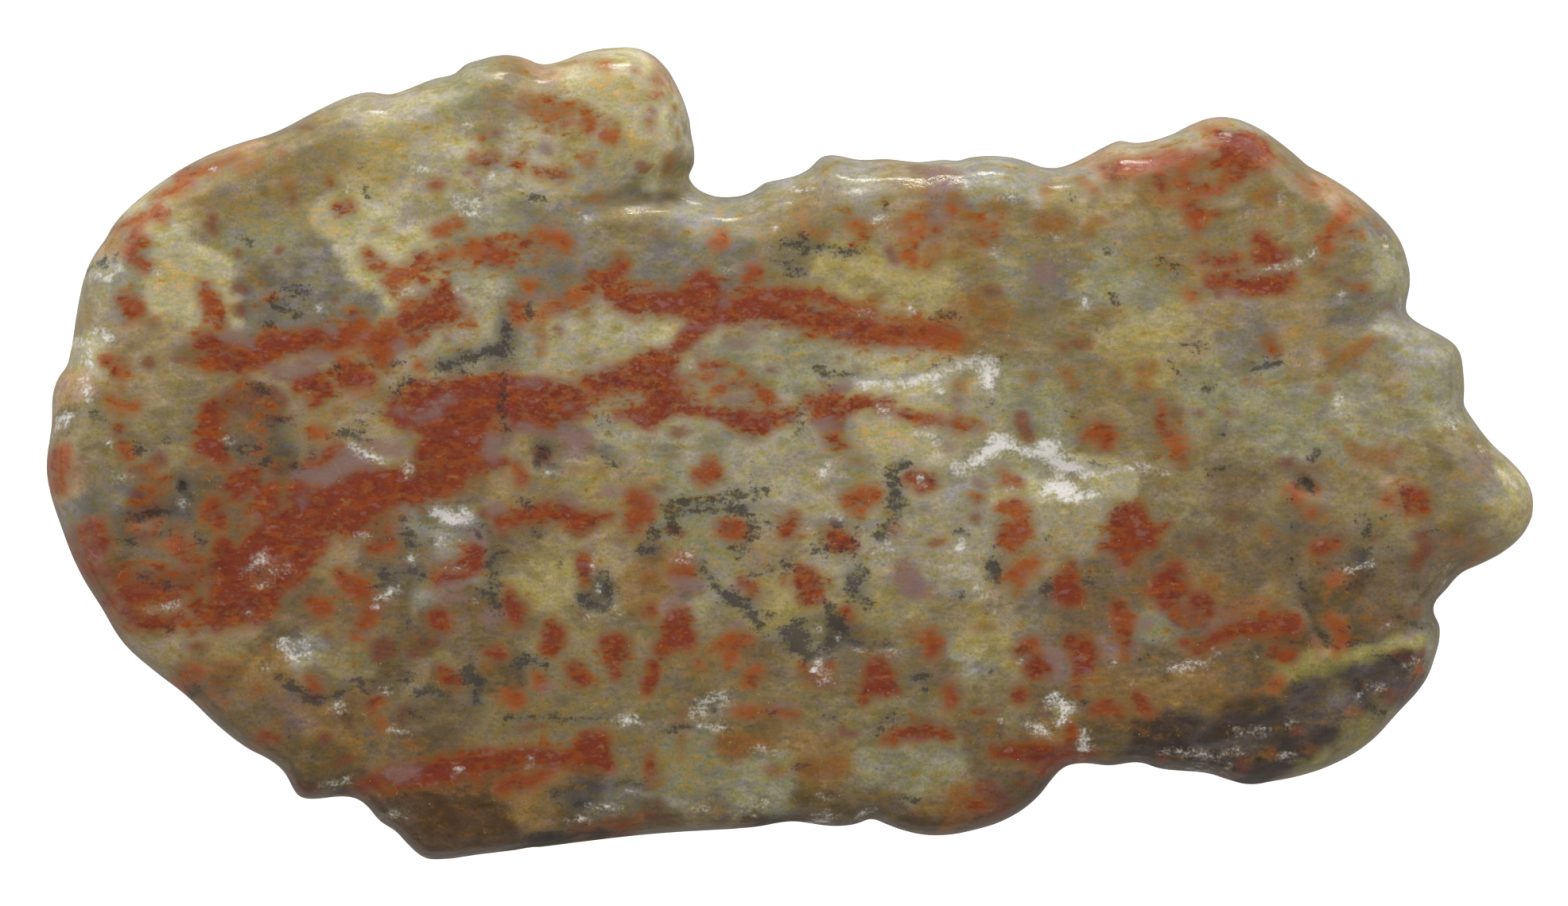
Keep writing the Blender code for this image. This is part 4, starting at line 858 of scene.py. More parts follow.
SHADE = {
    "upper left": [
        [(335, 335, 8), (345, 355, 8)], [(287, 240, 8)], [(440, 198, 8)], [(428, 133, 6)],
        # Painted shadow: (760, 252) to (850, 250) here, and (660, 262) below, darken the fold under the
        # upper lobe.
        [(340, 400, 22, 14)], [(850, 250, 20, 12), (820, 246, 26, 12), (760, 252, 26, 10)],
        [(705, 342, 16, 11)], [(660, 262, 20, 10)], [(1110, 250, 8, 5)], [(995, 330, 22, 16)],
        [(1030, 312, 30, 8)],
    ],
    "left": [
        [(350, 555, 34, 24)], [(305, 575, 24, 14)], [(225, 640, 26, 18)], [(160, 655, 22, 12)],
        [(205, 680, 30, 18)], [(560, 460, 24, 10), (620, 440, 24, 12)], [(640, 415, 10, 16)],
        [(120, 640, 12)], [(240, 620, 14)],
    ],
    "middle": [
        [(535, 660, 16, 22)], [(590, 668, 26, 9)], [(500, 730, 24, 18)], [(620, 725, 14, 34)],
        [(750, 745, 26, 24)], [(815, 690, 16, 22)], [(870, 640, 36, 8)], [(930, 635, 32, 8)],
        [(1125, 630, 10, 44)], [(1140, 586, 14, 9)], [(895, 567, 18)], [(1050, 655, 18, 6)],
        [(1040, 790, 36, 24)], [(985, 800, 22, 12)], [(925, 755, 30, 12)], [(1075, 735, 18, 26)],
        [(1060, 480, 16, 10)], [(1070, 830, 18, 9)], [(1058, 826, 12)], [(690, 575, 22, 18)],
        [(765, 570, 16, 12)],
    ],
    "lower": [
        [(600, 880, 12, 22)], [(660, 832, 20, 9)], [(540, 868, 26, 8)], [(400, 870, 44, 10)],
        [(620, 755, 14, 18)], [(740, 1000, 44, 12)], [(720, 1050, 70, 12)], [(990, 1028, 36, 9)],
        [(1145, 852, 14, 8)], [(470, 865, 24, 8)], [(800, 990, 24, 8)],
    ],
    "right": [
        [(1248, 716, 12, 14)], [(1300, 395, 18, 8)], [(1435, 375, 14, 8)], [(1640, 608, 16, 12)],
        [(1622, 663, 16, 12)], [(1710, 697, 18, 12)], [(1365, 730, 12, 9)], [(1316, 742, 10, 12)],
        [(1610, 685, 12, 8)], [(1545, 590, 16, 6)], [(1530, 540, 12)], [(1316, 759, 8)],
    ],
}

# The ground between the markings, as paints laid in soft dabs: (x, y), or (x, y, reach) in pixels.
PAINTS = {
    "ivory": ((190, 181, 142), [
        (212, 228), (770, 108), (800, 128, 24), (1908, 606, 22), (735, 72, 18), (1140, 500, 22),
        (1095, 492, 18), (1125, 548, 22), (1385, 620, 16), (118, 440, 16), (1300, 615, 18), (470, 160, 22),
        (440, 290, 20), (520, 300, 20), (560, 185, 20), (480, 255, 20), (820, 215, 14), (250, 360, 18),
        (215, 372, 16), (700, 235, 18), (770, 160, 18), (558, 428, 13), (608, 412, 13), (700, 446, 15),
        (780, 422, 17), (730, 420, 15), (822, 430, 12),
    ]),
    "cream": ((168, 159, 130), [
        (112, 368), (458, 132), (520, 135), (548, 221), (600, 250), (520, 250), (672, 172), (855, 160, 18),
        (760, 206, 20), (900, 400, 14), (880, 470, 18), (960, 450, 16), (930, 735, 18), (890, 750, 16),
        (1000, 590), (1020, 640, 24), (560, 430, 20), (600, 412, 20), (700, 440, 24), (780, 425, 24),
        (740, 418, 22), (1160, 660, 24), (1215, 520, 20), (1440, 182, 16), (1505, 165, 14), (1560, 160, 12),
        (1330, 660), (1180, 700, 24), (875, 558, 22), (1085, 452, 20), (780, 550, 26), (950, 600, 20),
        (1700, 522, 20), (1000, 640, 20), (1090, 690, 20), (1020, 700, 16), (1360, 650, 22),
        (1115, 600, 20), (1045, 562, 20),
    ]),
    "mist": ((158, 154, 136), [
        (900, 274), (930, 258), (150, 358, 20), (1345, 212, 20), (1780, 430), (1200, 615, 12),
        (965, 240, 22), (1215, 835, 16), (560, 690, 22), (395, 812, 16), (1060, 225, 24), (1300, 222, 18),
        (1100, 235, 18), (1230, 215, 18),
    ]),
    "sage": ((152, 147, 116), [
        (590, 118), (340, 290), (620, 290), (1400, 330), (1275, 335, 20), (1740, 340, 22), (1760, 320, 18),
        (1520, 470, 22), (1560, 520), (1430, 380, 24), (1820, 470, 22), (1815, 505, 22), (1720, 500, 20),
        (1630, 520, 22), (1600, 500, 22), (1010, 450, 20), (930, 462, 22), (1080, 590, 20), (900, 690, 22),
        (1130, 770, 20), (1150, 960, 24), (870, 980, 26), (950, 985, 26), (1300, 500, 24), (1290, 590, 18),
        (1855, 620, 20), (1440, 790, 14), (1805, 808, 16), (1690, 560, 16), (840, 575, 20), (1100, 960, 24),
        (1180, 960, 20),
    ]),
    "straw": ((166, 152, 102), [
        (480, 208), (470, 180, 22), (1070, 340, 26), (1180, 345, 26), (1420, 430, 24), (1480, 410, 22),
        (670, 720, 22), (700, 742, 24), (1900, 640, 26), (1240, 812, 22), (1345, 235, 16), (1120, 768, 20),
        (980, 762, 20), (550, 255, 16), (715, 175, 16), (780, 185, 18), (1340, 625, 14), (1085, 600, 14),
        (1440, 440, 16), (740, 600, 18),
    ]),
    "buff": ((160, 142, 106), [
        (110, 395, 20), (75, 545, 16), (1120, 240, 20), (1130, 300, 22), (1740, 470, 20), (1620, 385, 22),
        (1640, 430, 18), (1520, 390, 20), (1500, 430, 16), (400, 530, 22), (460, 508, 20), (640, 610, 20),
        (790, 590, 20), (1010, 690, 22), (1310, 700, 20), (430, 800, 16), (220, 820, 20), (180, 810, 20),
        (1390, 270, 22), (960, 700, 16), (1700, 600, 20), (1540, 400, 16), (1610, 745, 16), (300, 225, 22),
        (180, 435, 22), (200, 480, 18), (425, 695, 16), (290, 800, 22), (520, 850, 12), (640, 590, 14),
        (1270, 770, 18), (1030, 620, 14), (760, 690, 18),
    ]),
    # Peach: pale pink-tan stone, and along the upper and left rims partly a painted sheen where they catch
    # light.
    "peach": ((176, 147, 112), [
        (82, 480, 18), (70, 600, 14), (250, 203, 14), (1450, 180, 14), (1400, 190, 16), (1530, 158, 14),
        (1690, 255, 14), (300, 190, 16), (845, 90, 12), (700, 80, 14), (150, 290, 16), (100, 600, 14),
        (1745, 628, 14),
    ]),
    "khaki": ((142, 128, 93), [
        (330, 240), (270, 240, 24), (420, 170), (640, 128, 24), (850, 218, 20), (800, 280), (960, 262, 22),
        (1030, 262, 22), (1260, 300, 24), (1330, 320, 24), (1230, 340, 22), (1345, 230, 16),
        (1450, 310, 24), (1560, 270, 22), (1600, 225, 20), (1510, 222, 12), (1620, 270, 20),
        (1300, 430, 24), (1380, 500, 22), (1430, 530, 22), (1680, 430, 20), (1540, 560, 22),
        (1700, 330, 24), (130, 570, 16), (110, 540, 16), (240, 480, 22), (220, 520, 20), (700, 600, 22),
        (1480, 620, 22), (1700, 620, 22), (1750, 660, 20), (1600, 640, 20), (1830, 580, 24),
        (1820, 625, 24), (1880, 670, 18), (905, 790, 16), (770, 875, 20), (800, 930, 20), (1150, 890, 20),
        (1100, 925, 20), (700, 880, 18), (1180, 780, 20), (880, 850, 24), (1000, 860, 20), (930, 870, 22),
        (720, 780, 20), (740, 880, 20), (420, 830, 20), (1240, 870, 18), (1690, 945, 20), (1740, 905, 18),
        (620, 912, 18), (1050, 880, 18), (570, 840, 14), (850, 880, 16), (1400, 400, 18), (980, 340, 20),
        (160, 545, 12),
    ]),
    "ash": ((132, 124, 107), [
        (900, 322, 22), (700, 342, 20), (730, 310, 20), (700, 270, 20), (1310, 345, 20), (1710, 295, 18),
        (1550, 430, 26), (742, 1022, 14), (778, 1006, 11), (500, 1022, 9), (570, 440, 14), (1860, 612, 22),
        (1700, 388, 20), (380, 350, 24), (130, 620, 18), (1290, 770, 16), (640, 420, 16), (1790, 765, 14),
        (1680, 868, 14), (840, 330, 20), (800, 262, 14), (930, 330, 16), (1330, 345, 16),
    ]),
    "ochre": ((147, 117, 74), [
        (1460, 240, 18), (1530, 885, 16), (1420, 852, 22), (1470, 862, 16), (1385, 858, 14),
        (1520, 845, 14), (1225, 385, 18), (880, 835, 18), (300, 205, 10), (420, 912, 24), (360, 240, 12),
        (1590, 255, 16), (1240, 390, 18), (1205, 300, 18), (1020, 270, 14), (820, 725, 14), (1520, 735, 16),
        (1040, 960, 24), (180, 780, 12), (670, 1012, 24), (1190, 1000, 22), (940, 935, 20), (240, 250, 14),
        (250, 835, 18), (330, 845, 20), (1330, 925, 12), (850, 720, 10), (1145, 790, 12), (1330, 290, 14),
    ]),
    "drab": ((126, 108, 80), [
        (300, 580, 20), (260, 700, 22), (600, 600, 18), (650, 690, 20), (480, 700, 20), (1560, 620, 22),
        (1600, 710, 22), (1650, 660, 20), (1530, 700, 22), (1400, 720, 24), (1840, 690, 22),
        (1750, 740, 20), (1800, 720, 20), (320, 900, 22), (380, 780, 20), (280, 880, 20), (430, 790, 18),
        (870, 870, 16), (1330, 780, 22), (1550, 830, 22), (1740, 760, 20), (1620, 745, 16), (1350, 870, 14),
        (560, 900, 22), (490, 930, 22), (1230, 920, 18), (1250, 970, 20), (660, 760, 14), (1180, 840, 20),
        (1060, 870, 16), (600, 800, 20), (340, 340, 14), (170, 640, 16), (1450, 830, 18), (1100, 1000, 20),
        (960, 830, 20), (1320, 880, 12), (1100, 800, 16), (890, 1010, 20), (540, 700, 14),
    ]),
    "moss": ((112, 95, 64), [
        (110, 712, 14), (260, 900, 16), (400, 955, 22), (340, 955, 14), (560, 940, 20), (1510, 895, 14),
        # Painted shadow: the dabs at (850, 242) and (810, 247) darken the fold under the upper lobe.
        (850, 242, 12), (810, 247, 10), (1290, 985, 22), (1060, 1030, 22), (940, 930, 16), (1390, 930, 16),
        (1030, 1000, 20), (1590, 870, 18), (1690, 765, 20), (1780, 740, 18), (350, 550, 18), (500, 840, 16),
        (620, 850, 14), (720, 1035, 26), (830, 1040, 20), (1650, 760, 14), (1100, 1018, 18), (280, 855, 12),
        (230, 870, 14), (1580, 830, 16), (560, 860, 14), (560, 905, 12),
    ]),
    "bark": ((96, 72, 48), [
        (375, 990, 12), (560, 1040, 24), (600, 1000, 24), (500, 1020, 22), (540, 1066, 18), (620, 1050, 22),
        (1215, 1020, 16), (1260, 1020, 20), (1300, 1000, 14), (1410, 950, 12), (1230, 1040, 16),
        (1180, 1044, 16), (1310, 985, 20), (460, 1000, 14), (1370, 955, 10), (440, 900, 10),
        (1620, 800, 10), (1690, 735, 12), (1140, 1040, 12), (950, 1036, 10),
    ]),
    "umber": ((76, 62, 53), [
        (1430, 942, 16), (1480, 922, 16), (1490, 930, 20), (1550, 910, 20), (1600, 892, 20),
        (1600, 940, 22), (1530, 960, 20), (1570, 978, 16), (1460, 958, 12), (1650, 925, 16),
        (1770, 830, 16), (1690, 850, 12), (1620, 965, 14), (760, 1045, 18), (690, 1058, 14),
        (1545, 935, 18), (1330, 975, 16), (1360, 962, 12),
    ]),
    "plum": ((94, 82, 76), [
        (1660, 872, 20), (1700, 852, 18), (1740, 862, 18), (1640, 900, 18), (1570, 930, 14),
        (1500, 945, 12), (1760, 848, 16), (740, 1012, 16), (1690, 890, 16), (1510, 915, 12),
    ]),
    "citron": ((150, 141, 82), [
        (1610, 846, 10), (1645, 839, 11), (1680, 830, 11), (1712, 820, 11), (1742, 811, 10), (1775, 806, 9),
        (1632, 965, 10), (1683, 942, 12), (1714, 926, 11), (1735, 915, 10), (1660, 955, 11), (1330, 892, 8),
    ]),
    "mauve": ((140, 116, 104), [
        (600, 550, 14), (1310, 820, 14), (1180, 290, 16), (1190, 240, 14), (420, 590, 14), (1145, 735, 14),
        (730, 560, 14), (1350, 830, 14), (870, 735, 14), (1540, 775, 14), (1250, 1000, 14), (350, 880, 14),
        (110, 690, 12), (380, 900, 12), (1860, 590, 12), (1480, 760, 12), (1410, 815, 14),
    ]),
}

# The kinds of marking, by the name under which each is kept on the mesh.
MARKINGS = {
    "iron": (RED, RUST, ORANGE), "wash": (WASH,), "ochre": (OCHRE,), "dull": (DULL,),
    "lilac": (LILAC,), "shade": (SHADE,), "dark": (DARK,), "white": (WHITE,),
}


# The surface

def mesh_points(mesh):
    flat = np.empty(3 * len(mesh.vertices))
    mesh.vertices.foreach_get("co", flat)
    return flat.reshape(-1, 3)


def mesh_edges(mesh):
    flat = np.empty(2 * len(mesh.edges), dtype=int)
    mesh.edges.foreach_get("vertices", flat)
    return flat.reshape(-1, 2)


def mesh_normals(mesh):
    flat = np.empty(3 * len(mesh.vertices))
    mesh.vertex_normals.foreach_get("vector", flat)
    return flat.reshape(-1, 3)


def set_points(mesh, points):
    mesh.vertices.foreach_set("co", points.ravel())
    mesh.update()


def welded_copy(node):
    """A copy of the node's mesh whose faces share their corners."""
    surface = bmesh.new()
    surface.from_mesh(node.data)
    bmesh.ops.remove_doubles(surface, verts=surface.verts, dist=WELD)
    mesh = bpy.data.meshes.new("stone")
    surface.to_mesh(mesh)
    surface.free()
    return mesh


def reshaped(mesh, add_modifier):
    """The mesh as a modifier leaves it, which add_modifier puts on the object that it is given."""
    worker = bpy.data.objects.new("worker", mesh)
    bpy.context.scene.collection.objects.link(worker)
    add_modifier(worker)
    graph = bpy.context.evaluated_depsgraph_get()
    result = bpy.data.meshes.new_from_object(worker.evaluated_get(graph))
    bpy.data.objects.remove(worker)
    return result


def add_even_faces(worker):
    remesh = worker.modifiers.new("even faces", "REMESH")
    remesh.mode = "VOXEL"
    remesh.voxel_size = FACE_EDGE


def add_lighter_back(worker):
    """Thins the faces out, on the back alone."""
    low = np.flatnonzero(mesh_points(worker.data)[:, 2] < BACK_BELOW)
    back = worker.vertex_groups.new(name="back")
    back.add(low.tolist(), 1.0, "REPLACE")
    lighten = worker.modifiers.new("lighter back", "DECIMATE")
    lighten.ratio = KEPT_SHARE
    lighten.vertex_group = back.name


def evened(points, edges):
    """Points moved towards their neighbours and back out again, which smooths without shrinking."""
    starts, ends = edges[:, 0], edges[:, 1]
    neighbours = np.bincount(edges.ravel(), minlength=len(points))[:, None]
    for move in SMOOTHING_MOVES * SMOOTHING_ROUNDS:
        total = np.zeros_like(points)
        for axis in range(3):
            total[:, axis] += np.bincount(starts, points[ends, axis], len(points))
            total[:, axis] += np.bincount(ends, points[starts, axis], len(points))
        points = points + move * (total / neighbours - points)
    return points


def refined_mesh(node):
    """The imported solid's surface remade in small even faces, which are larger on the back."""
    mesh = reshaped(welded_copy(node), add_even_faces)
    set_points(mesh, evened(mesh_points(mesh), mesh_edges(mesh)))
    set_points(mesh, mesh_points(mesh) + SWELL * mesh_normals(mesh))
    mesh = reshaped(mesh, add_lighter_back)
    mesh.shade_smooth()
    return mesh


# The markings

def noise_moves(points):
    """A move (x, y) for each point, from smooth noise, of at most about 1 each way."""
    return np.array([noise.noise_vector(Vector(point))[:2] for point in points])


def pixel_places(points):
    """The photograph's pixel (x, y) that lies above each point, which is in metres."""
    across = OUTLINE_MIDDLE_X + (points[:, 0] - MIDDLE_X) / PIXEL
    down = OUTLINE_MIDDLE_Y - points[:, 1] / PIXEL
    return np.column_stack((across, down))


def wandered(points):
    """Each point's pixel, led a little astray by noise, and further the deeper it lies under the face."""
    depth = np.clip(FACE_TOP - points[:, 2] - FACE_MARGIN, 0, None) / PIXEL
    places = pixel_places(points)
    places += noise_moves(points / DRIFT_LENGTH) * (DRIFT + DRIFT_PER_DEPTH * depth)[:, None]
    places += noise_moves(points / TREMBLE_LENGTH) * TREMBLE
    places += np.outer(depth, BED_SLOPE)
    return places


def half_height(dab):
    return dab[-1]


def stroke_depth(places, start, end):
    """How far inside a tapering stroke each place is, in pixels; negative outside."""
    first = np.array(start[:2], float)
    along = np.array(end[:2], float) - first
    share = np.clip((places - first) @ along / (along @ along), 0, 1)
    gap = np.hypot(*(places - first - share[:, None] * along).T)
    return half_height(start) + share * (half_height(end) - half_height(start)) - gap


def spot_depth(places, dab):
    """How far inside a round or flat spot each place is, in pixels; negative outside."""
    half_length, height = dab[2], half_height(dab)
    reach = np.hypot((places[:, 0] - dab[0]) / half_length, (places[:, 1] - dab[1]) / height)
    return (1 - reach) * min(half_length, height)


def near_dabs(places, first, second):
    """The numbers of the places within reach of the two dabs and what lies between them."""
    margin = REACH + max(max(first[2:]), max(second[2:]))
    low_x, high_x = sorted((first[0], second[0]))
    low_y, high_y = sorted((first[1], second[1]))
    x, y = places[:, 0], places[:, 1]
    near = (x > low_x - margin) & (x < high_x + margin) & (y > low_y - margin) & (y < high_y + margin)
    return np.flatnonzero(near)


def add_stroke(total, places, stroke):
    """Adds a stroke's dabs, and the tapering pieces between them, to a soft union's sum."""
    for dab in stroke:
        near = near_dabs(places, dab, dab)
        total[near] += np.exp(spot_depth(places[near], dab) / BLEND)
    for start, end in zip(stroke, stroke[1:]):
        near = near_dabs(places, start, end)
        total[near] += np.exp(stroke_depth(places[near], start, end) / BLEND)


def soft_union(places, kinds):
    """The soft union of all the marks of these kinds, as a sum of powers of e."""
    total = np.full(len(places), math.exp(-REACH / BLEND))
    for marks in kinds:
        for strokes in marks.values():
            for stroke in strokes:
                add_stroke(total, places, stroke)
    return total


def marking_depth(places, kinds):
    """Signed distance, in pixels, to the edge of all the marks of these kinds; positive inside."""
    return BLEND * np.log(soft_union(places, kinds))


def iron_tone(places):
    """0 where the iron stain is brick red, 0.5 where it is rust and 1 where it is orange."""
    red, rust, orange = (soft_union(places, (marks,)) for marks in (RED, RUST, ORANGE))
    return (0.5 * rust + orange) / (red + rust + orange)


def linear(shade):
    """A picture's colour, 0 to 255 a channel, as linear light."""
    return tuple((v / 255 / 12.92) if v < 10.3 else ((v / 255 + 0.055) / 1.055) ** 2.4 for v in shade)


def ragged(places):
    """Moves, in pixels, that make the borders between the ground's paints uneven."""
    moves = np.zeros_like(places)
    for lumps, layer, reach in RAGGED:
        moves += reach * noise_moves(np.column_stack((places / lumps, np.full(len(places), layer))))
    return moves


def painted_ground(places):
    """The ground's linear colour: the paints' dabs, blended by how near each is, with ragged borders."""
    places = places + ragged(places)
    weight = np.full(len(places), KHAKI_WEIGHT)
    colour = weight[:, None] * np.array(linear(PAINTS["khaki"][0]))
    for shade, dabs in PAINTS.values():
        for x, y, *reach in dabs:
            gap = np.hypot(places[:, 0] - x, places[:, 1] - y) / (reach[0] if reach else GROUND_REACH)
            share = np.exp(-gap * gap)
            colour += share[:, None] * np.array(linear(shade))
            weight += share
    return colour / weight[:, None]


def keep_value(mesh, name, values):
    attribute = mesh.attributes.new(name, "FLOAT", "POINT")
    attribute.data.foreach_set("value", values.astype(np.float32))


def keep_colour(mesh, name, colours):
    attribute = mesh.attributes.new(name, "FLOAT_COLOR", "POINT")
    full = np.column_stack((colours, np.ones(len(colours))))
    attribute.data.foreach_set("color", full.astype(np.float32).ravel())


def soft_step(value, low, high):
    share = np.clip((value - low) / (high - low), 0, 1)
    return share * share * (3 - 2 * share)


def mark_stone(mesh):
    """Keeps every kind of marking on the mesh, and sinks the cracks and roughens the crystals a little."""
    noise.seed_set(NOISE_SEED)
    points = mesh_points(mesh)
    places = wandered(points)
    above_back = soft_step(points[:, 2], *BACK_FADE)
    depths = {}
    for name, kinds in MARKINGS.items():
        on_back = BACK_WASH if name == "wash" else -REACH
        depths[name] = on_back + above_back * (marking_depth(places, kinds) - on_back)
        keep_value(mesh, name, depths[name])
    keep_value(mesh, "iron_tone", iron_tone(places))
    ground = painted_ground(places)
    mean = ground.mean(axis=0)
    keep_colour(mesh, "ground", mean + above_back[:, None] * (ground - mean))
    sink = CRACK_DEPTH * soft_step(depths["dark"], *SINK_EDGE)
    sink += CRYSTAL_DEPTH * soft_step(depths["white"], *SINK_EDGE)
    set_points(mesh, points - mesh_normals(mesh) * sink[:, None])


# The material

class Nodes:
    """Adds and wires the nodes of one material or world."""

    def __init__(self, owner):
        owner.use_nodes = True
        self.tree = owner.node_tree

    def put(self, socket, value):
        """Sets an input socket, or links it where the value is another node's output."""
        if isinstance(value, bpy.types.NodeSocket):
            self.tree.links.new(value, socket)
        else:
            socket.default_value = value

    def node(self, kind, inputs=None, **settings):
        """A new node with these settings; its inputs, by name or number, are set or linked."""
        node = self.tree.nodes.new(kind)
        for name, value in settings.items():
            setattr(node, name, value)
        for name, value in (inputs or {}).items():
            self.put(node.inputs[name], value)
        return node

    def fill(self, name, inputs):
        """Sets or links the inputs of the node of this name that Blender made with the tree."""
        for socket, value in inputs.items():
            self.put(self.tree.nodes[name].inputs[socket], value)

    def math(self, operation, *values, clamp=False):
        inputs = dict(enumerate(values))
        return self.node("ShaderNodeMath", inputs, operation=operation, use_clamp=clamp).outputs[0]

    def step(self, value, low, high, top=1.0):
        """Rises smoothly from 0 at low to top at high."""
        inputs = {"Value": value, "From Min": low, "From Max": high, "To Max": top}
        return self.node("ShaderNodeMapRange", inputs, interpolation_type="SMOOTHSTEP").outputs["Result"]

    def mix(self, share, under, over, blend="MIX"):
        inputs = {0: share, 6: under, 7: over}
        return self.node("ShaderNodeMix", inputs, data_type="RGBA", blend_type=blend).outputs[2]

    def moved(self, vector, step):
        return self.node("ShaderNodeVectorMath", {0: vector, 1: step}, operation="ADD").outputs[0]

    def scaled(self, vector, times):
        inputs = {0: vector, "Scale": times}
        return self.node("ShaderNodeVectorMath", inputs, operation="SCALE").outputs[0]

    def kept(self, name, output="Fac"):
        return self.node("ShaderNodeAttribute", attribute_name=name).outputs[output]

    def noise(self, place, scale, detail):
        """Noise about 0, with lumps 1 / scale long."""
        inputs = {"Vector": place, "Scale": scale, "Detail": detail, "Roughness": NOISE_ROUGHNESS}
        return self.math("SUBTRACT", self.node("ShaderNodeTexNoise", inputs).outputs["Fac"], 0.5)

    def cells(self, place, scale, feature, output):
        inputs = {"Vector": place, "Scale": scale}
        return self.node("ShaderNodeTexVoronoi", inputs, feature=feature).outputs[output]


def paint(shade):
    """A photographed colour as the surface's own colour, under this scene's light."""
    return (*(LIGHT_SHARE * v for v in linear(shade)), 1.0)


def stone_material():
    material = bpy.data.materials.new("agatised_stone")
    shader = Nodes(material)
    place = millimetres(shader)
    noises = stone_noises(shader, place)
    colour = ground_colour(shader, noises)
    colour = marked(shader, colour, noises, SOFT_STAINS)
    # Mottling, with painted light that makes the colour lighter towards the upper edge.
    colour = mottled(shader, colour, noises, place, MOTTLE)
    colour = iron_stained(shader, colour, noises, place)
    colour = marked(shader, colour, noises, SHARP_MARKS)
    colour = hairlined(shader, colour, noises, place)
    colour = specked(shader, colour, place)
    polish(shader, colour, noises)
    return material


def millimetres(shader):
    """The surface's own place, in millimetres."""
    return shader.scaled(shader.node("ShaderNodeTexCoord").outputs["Object"], 1000.0)


def stone_noises(shader, place):
    """The named noises: all but the grain are turned to the stone's bedding and drawn out along it."""
    turned = {"Vector": place, "Rotation": (0.0, 0.0, -BED_TURN), "Scale": BED_STRETCH}
    beds = shader.node("ShaderNodeMapping", turned).outputs[0]
    noises = {name: shader.noise(beds, scale, detail) for name, scale, detail in BED_NOISES}
    noises["grain"] = shader.noise(place, GRAIN_SCALE, GRAIN_DETAIL)
    for name, scale, detail, shift in TINT_NOISES:
        noises[name] = shader.noise(shader.moved(beds, shift), scale, detail)
    return noises


def weighted(shader, noises, shares):
    """The sum of the named noises, each times its share."""
    total = 0.0
    for name, share in shares:
        total = shader.math("MULTIPLY_ADD", noises[name], share, total)
    return total


def ground_colour(shader, noises):
    """The painted ground under this scene's light, with its tints in clouds."""
    colour = shader.mix(1.0, shader.kept("ground", "Color"), (LIGHT_SHARE,) * 3 + (1.0,), "MULTIPLY")
    for shares, low, high, strength, tint in CLOUDS:
        share = shader.step(weighted(shader, noises, shares), low, high, strength)
        colour = shader.mix(share, colour, (*tint, 1.0), "MULTIPLY")
    return colour


def marked(shader, colour, noises, marks):
    """The colour with stains or marks laid on it, whose edges the noises make ragged."""
    for name, low, high, strength, shade in marks:
        wobble = weighted(shader, noises, MARK_WOBBLE.get(name, EDGE_WOBBLE))
        depth = shader.math("ADD", shader.kept(name), wobble)
        colour = shader.mix(shader.step(depth, low, high, strength), colour, paint(shade))
    return colour


def mottled(shader, colour, noises, place, shares):
    """The colour with painted light that makes it lighter towards the upper edge, uneven in lightness,
    warmth and blush.
    """
    height = shader.node("ShaderNodeSeparateXYZ", {0: place}).outputs["Y"]
    # Painted light: lighter with height, towards the upper edge that the light comes from.
    light = shader.math("MULTIPLY_ADD", height, PAINTED_LIGHT_UP, 1.0)
    light = shader.math("ADD", light, weighted(shader, noises, shares))
    warm = shader.math("SUBTRACT", 1.0, weighted(shader, noises, WARMTH))
    blush = shader.math("ADD", 1.0, weighted(shader, noises, BLUSH))
    channels = {0: shader.math("MULTIPLY", light, blush), 1: light, 2: shader.math("MULTIPLY", light, warm)}
    tint = shader.node("ShaderNodeCombineColor", channels)
    return shader.mix(1.0, colour, tint.outputs[0], "MULTIPLY")


def iron_depth(shader, noises):
    """How far inside the iron a place is, in pixels: inside a drawn mark, or inside a blotch of chance."""
    drawn = shader.math("ADD", shader.kept("iron"), weighted(shader, noises, EDGE_WOBBLE))
    wash = shader.math("MINIMUM", shader.kept("wash"), SCATTER_REACH)
    scattered = shader.math("MULTIPLY_ADD", wash, SCATTER_SHARE, SCATTER_BELOW)
    scattered = shader.math("ADD", scattered, weighted(shader, noises, SCATTER))
    return shader.math("MAXIMUM", drawn, scattered)


def iron_core(shader, noises, place, depth):
    """The iron's colour, orange to brick red in streaks, clouded, with painted light towards the upper
    edge.
    """
    tone = shader.math("ADD", shader.kept("iron_tone"), weighted(shader, noises, TONE_STREAKS))
    tone = shader.step(tone, *TONE_RANGE)
    rim = shader.mix(tone, paint(IRON_RUST), paint(IRON_ORANGE))
    deep = shader.mix(tone, paint(IRON_BRICK), paint(IRON_AMBER))
    core = shader.mix(shader.step(depth, *IRON_DEEPENS), rim, deep)
    for shares, low, high, strength, shade in IRON_CLOUDS:
        share = shader.step(weighted(shader, noises, shares), low, high, strength)
        core = shader.mix(share, core, paint(shade))
    # The mottling also paints light on the iron, lighter towards the upper edge.
    return mottled(shader, core, noises, place, IRON_MOTTLE)


def iron_stained(shader, colour, noises, place):
    """The colour with iron laid on it: a brown halo, and a core that is thinner in places."""
    depth = iron_depth(shader, noises)
    low, high, strength, shade = IRON_HALO
    colour = shader.mix(shader.step(depth, low, high, strength), colour, paint(shade))
    cover = shader.math("ADD", IRON_FULLNESS, weighted(shader, noises, IRON_COVER), clamp=True)
    share = shader.math("MULTIPLY", shader.step(depth, *IRON_EDGE), cover)
    return shader.mix(share, colour, iron_core(shader, noises, place, depth))


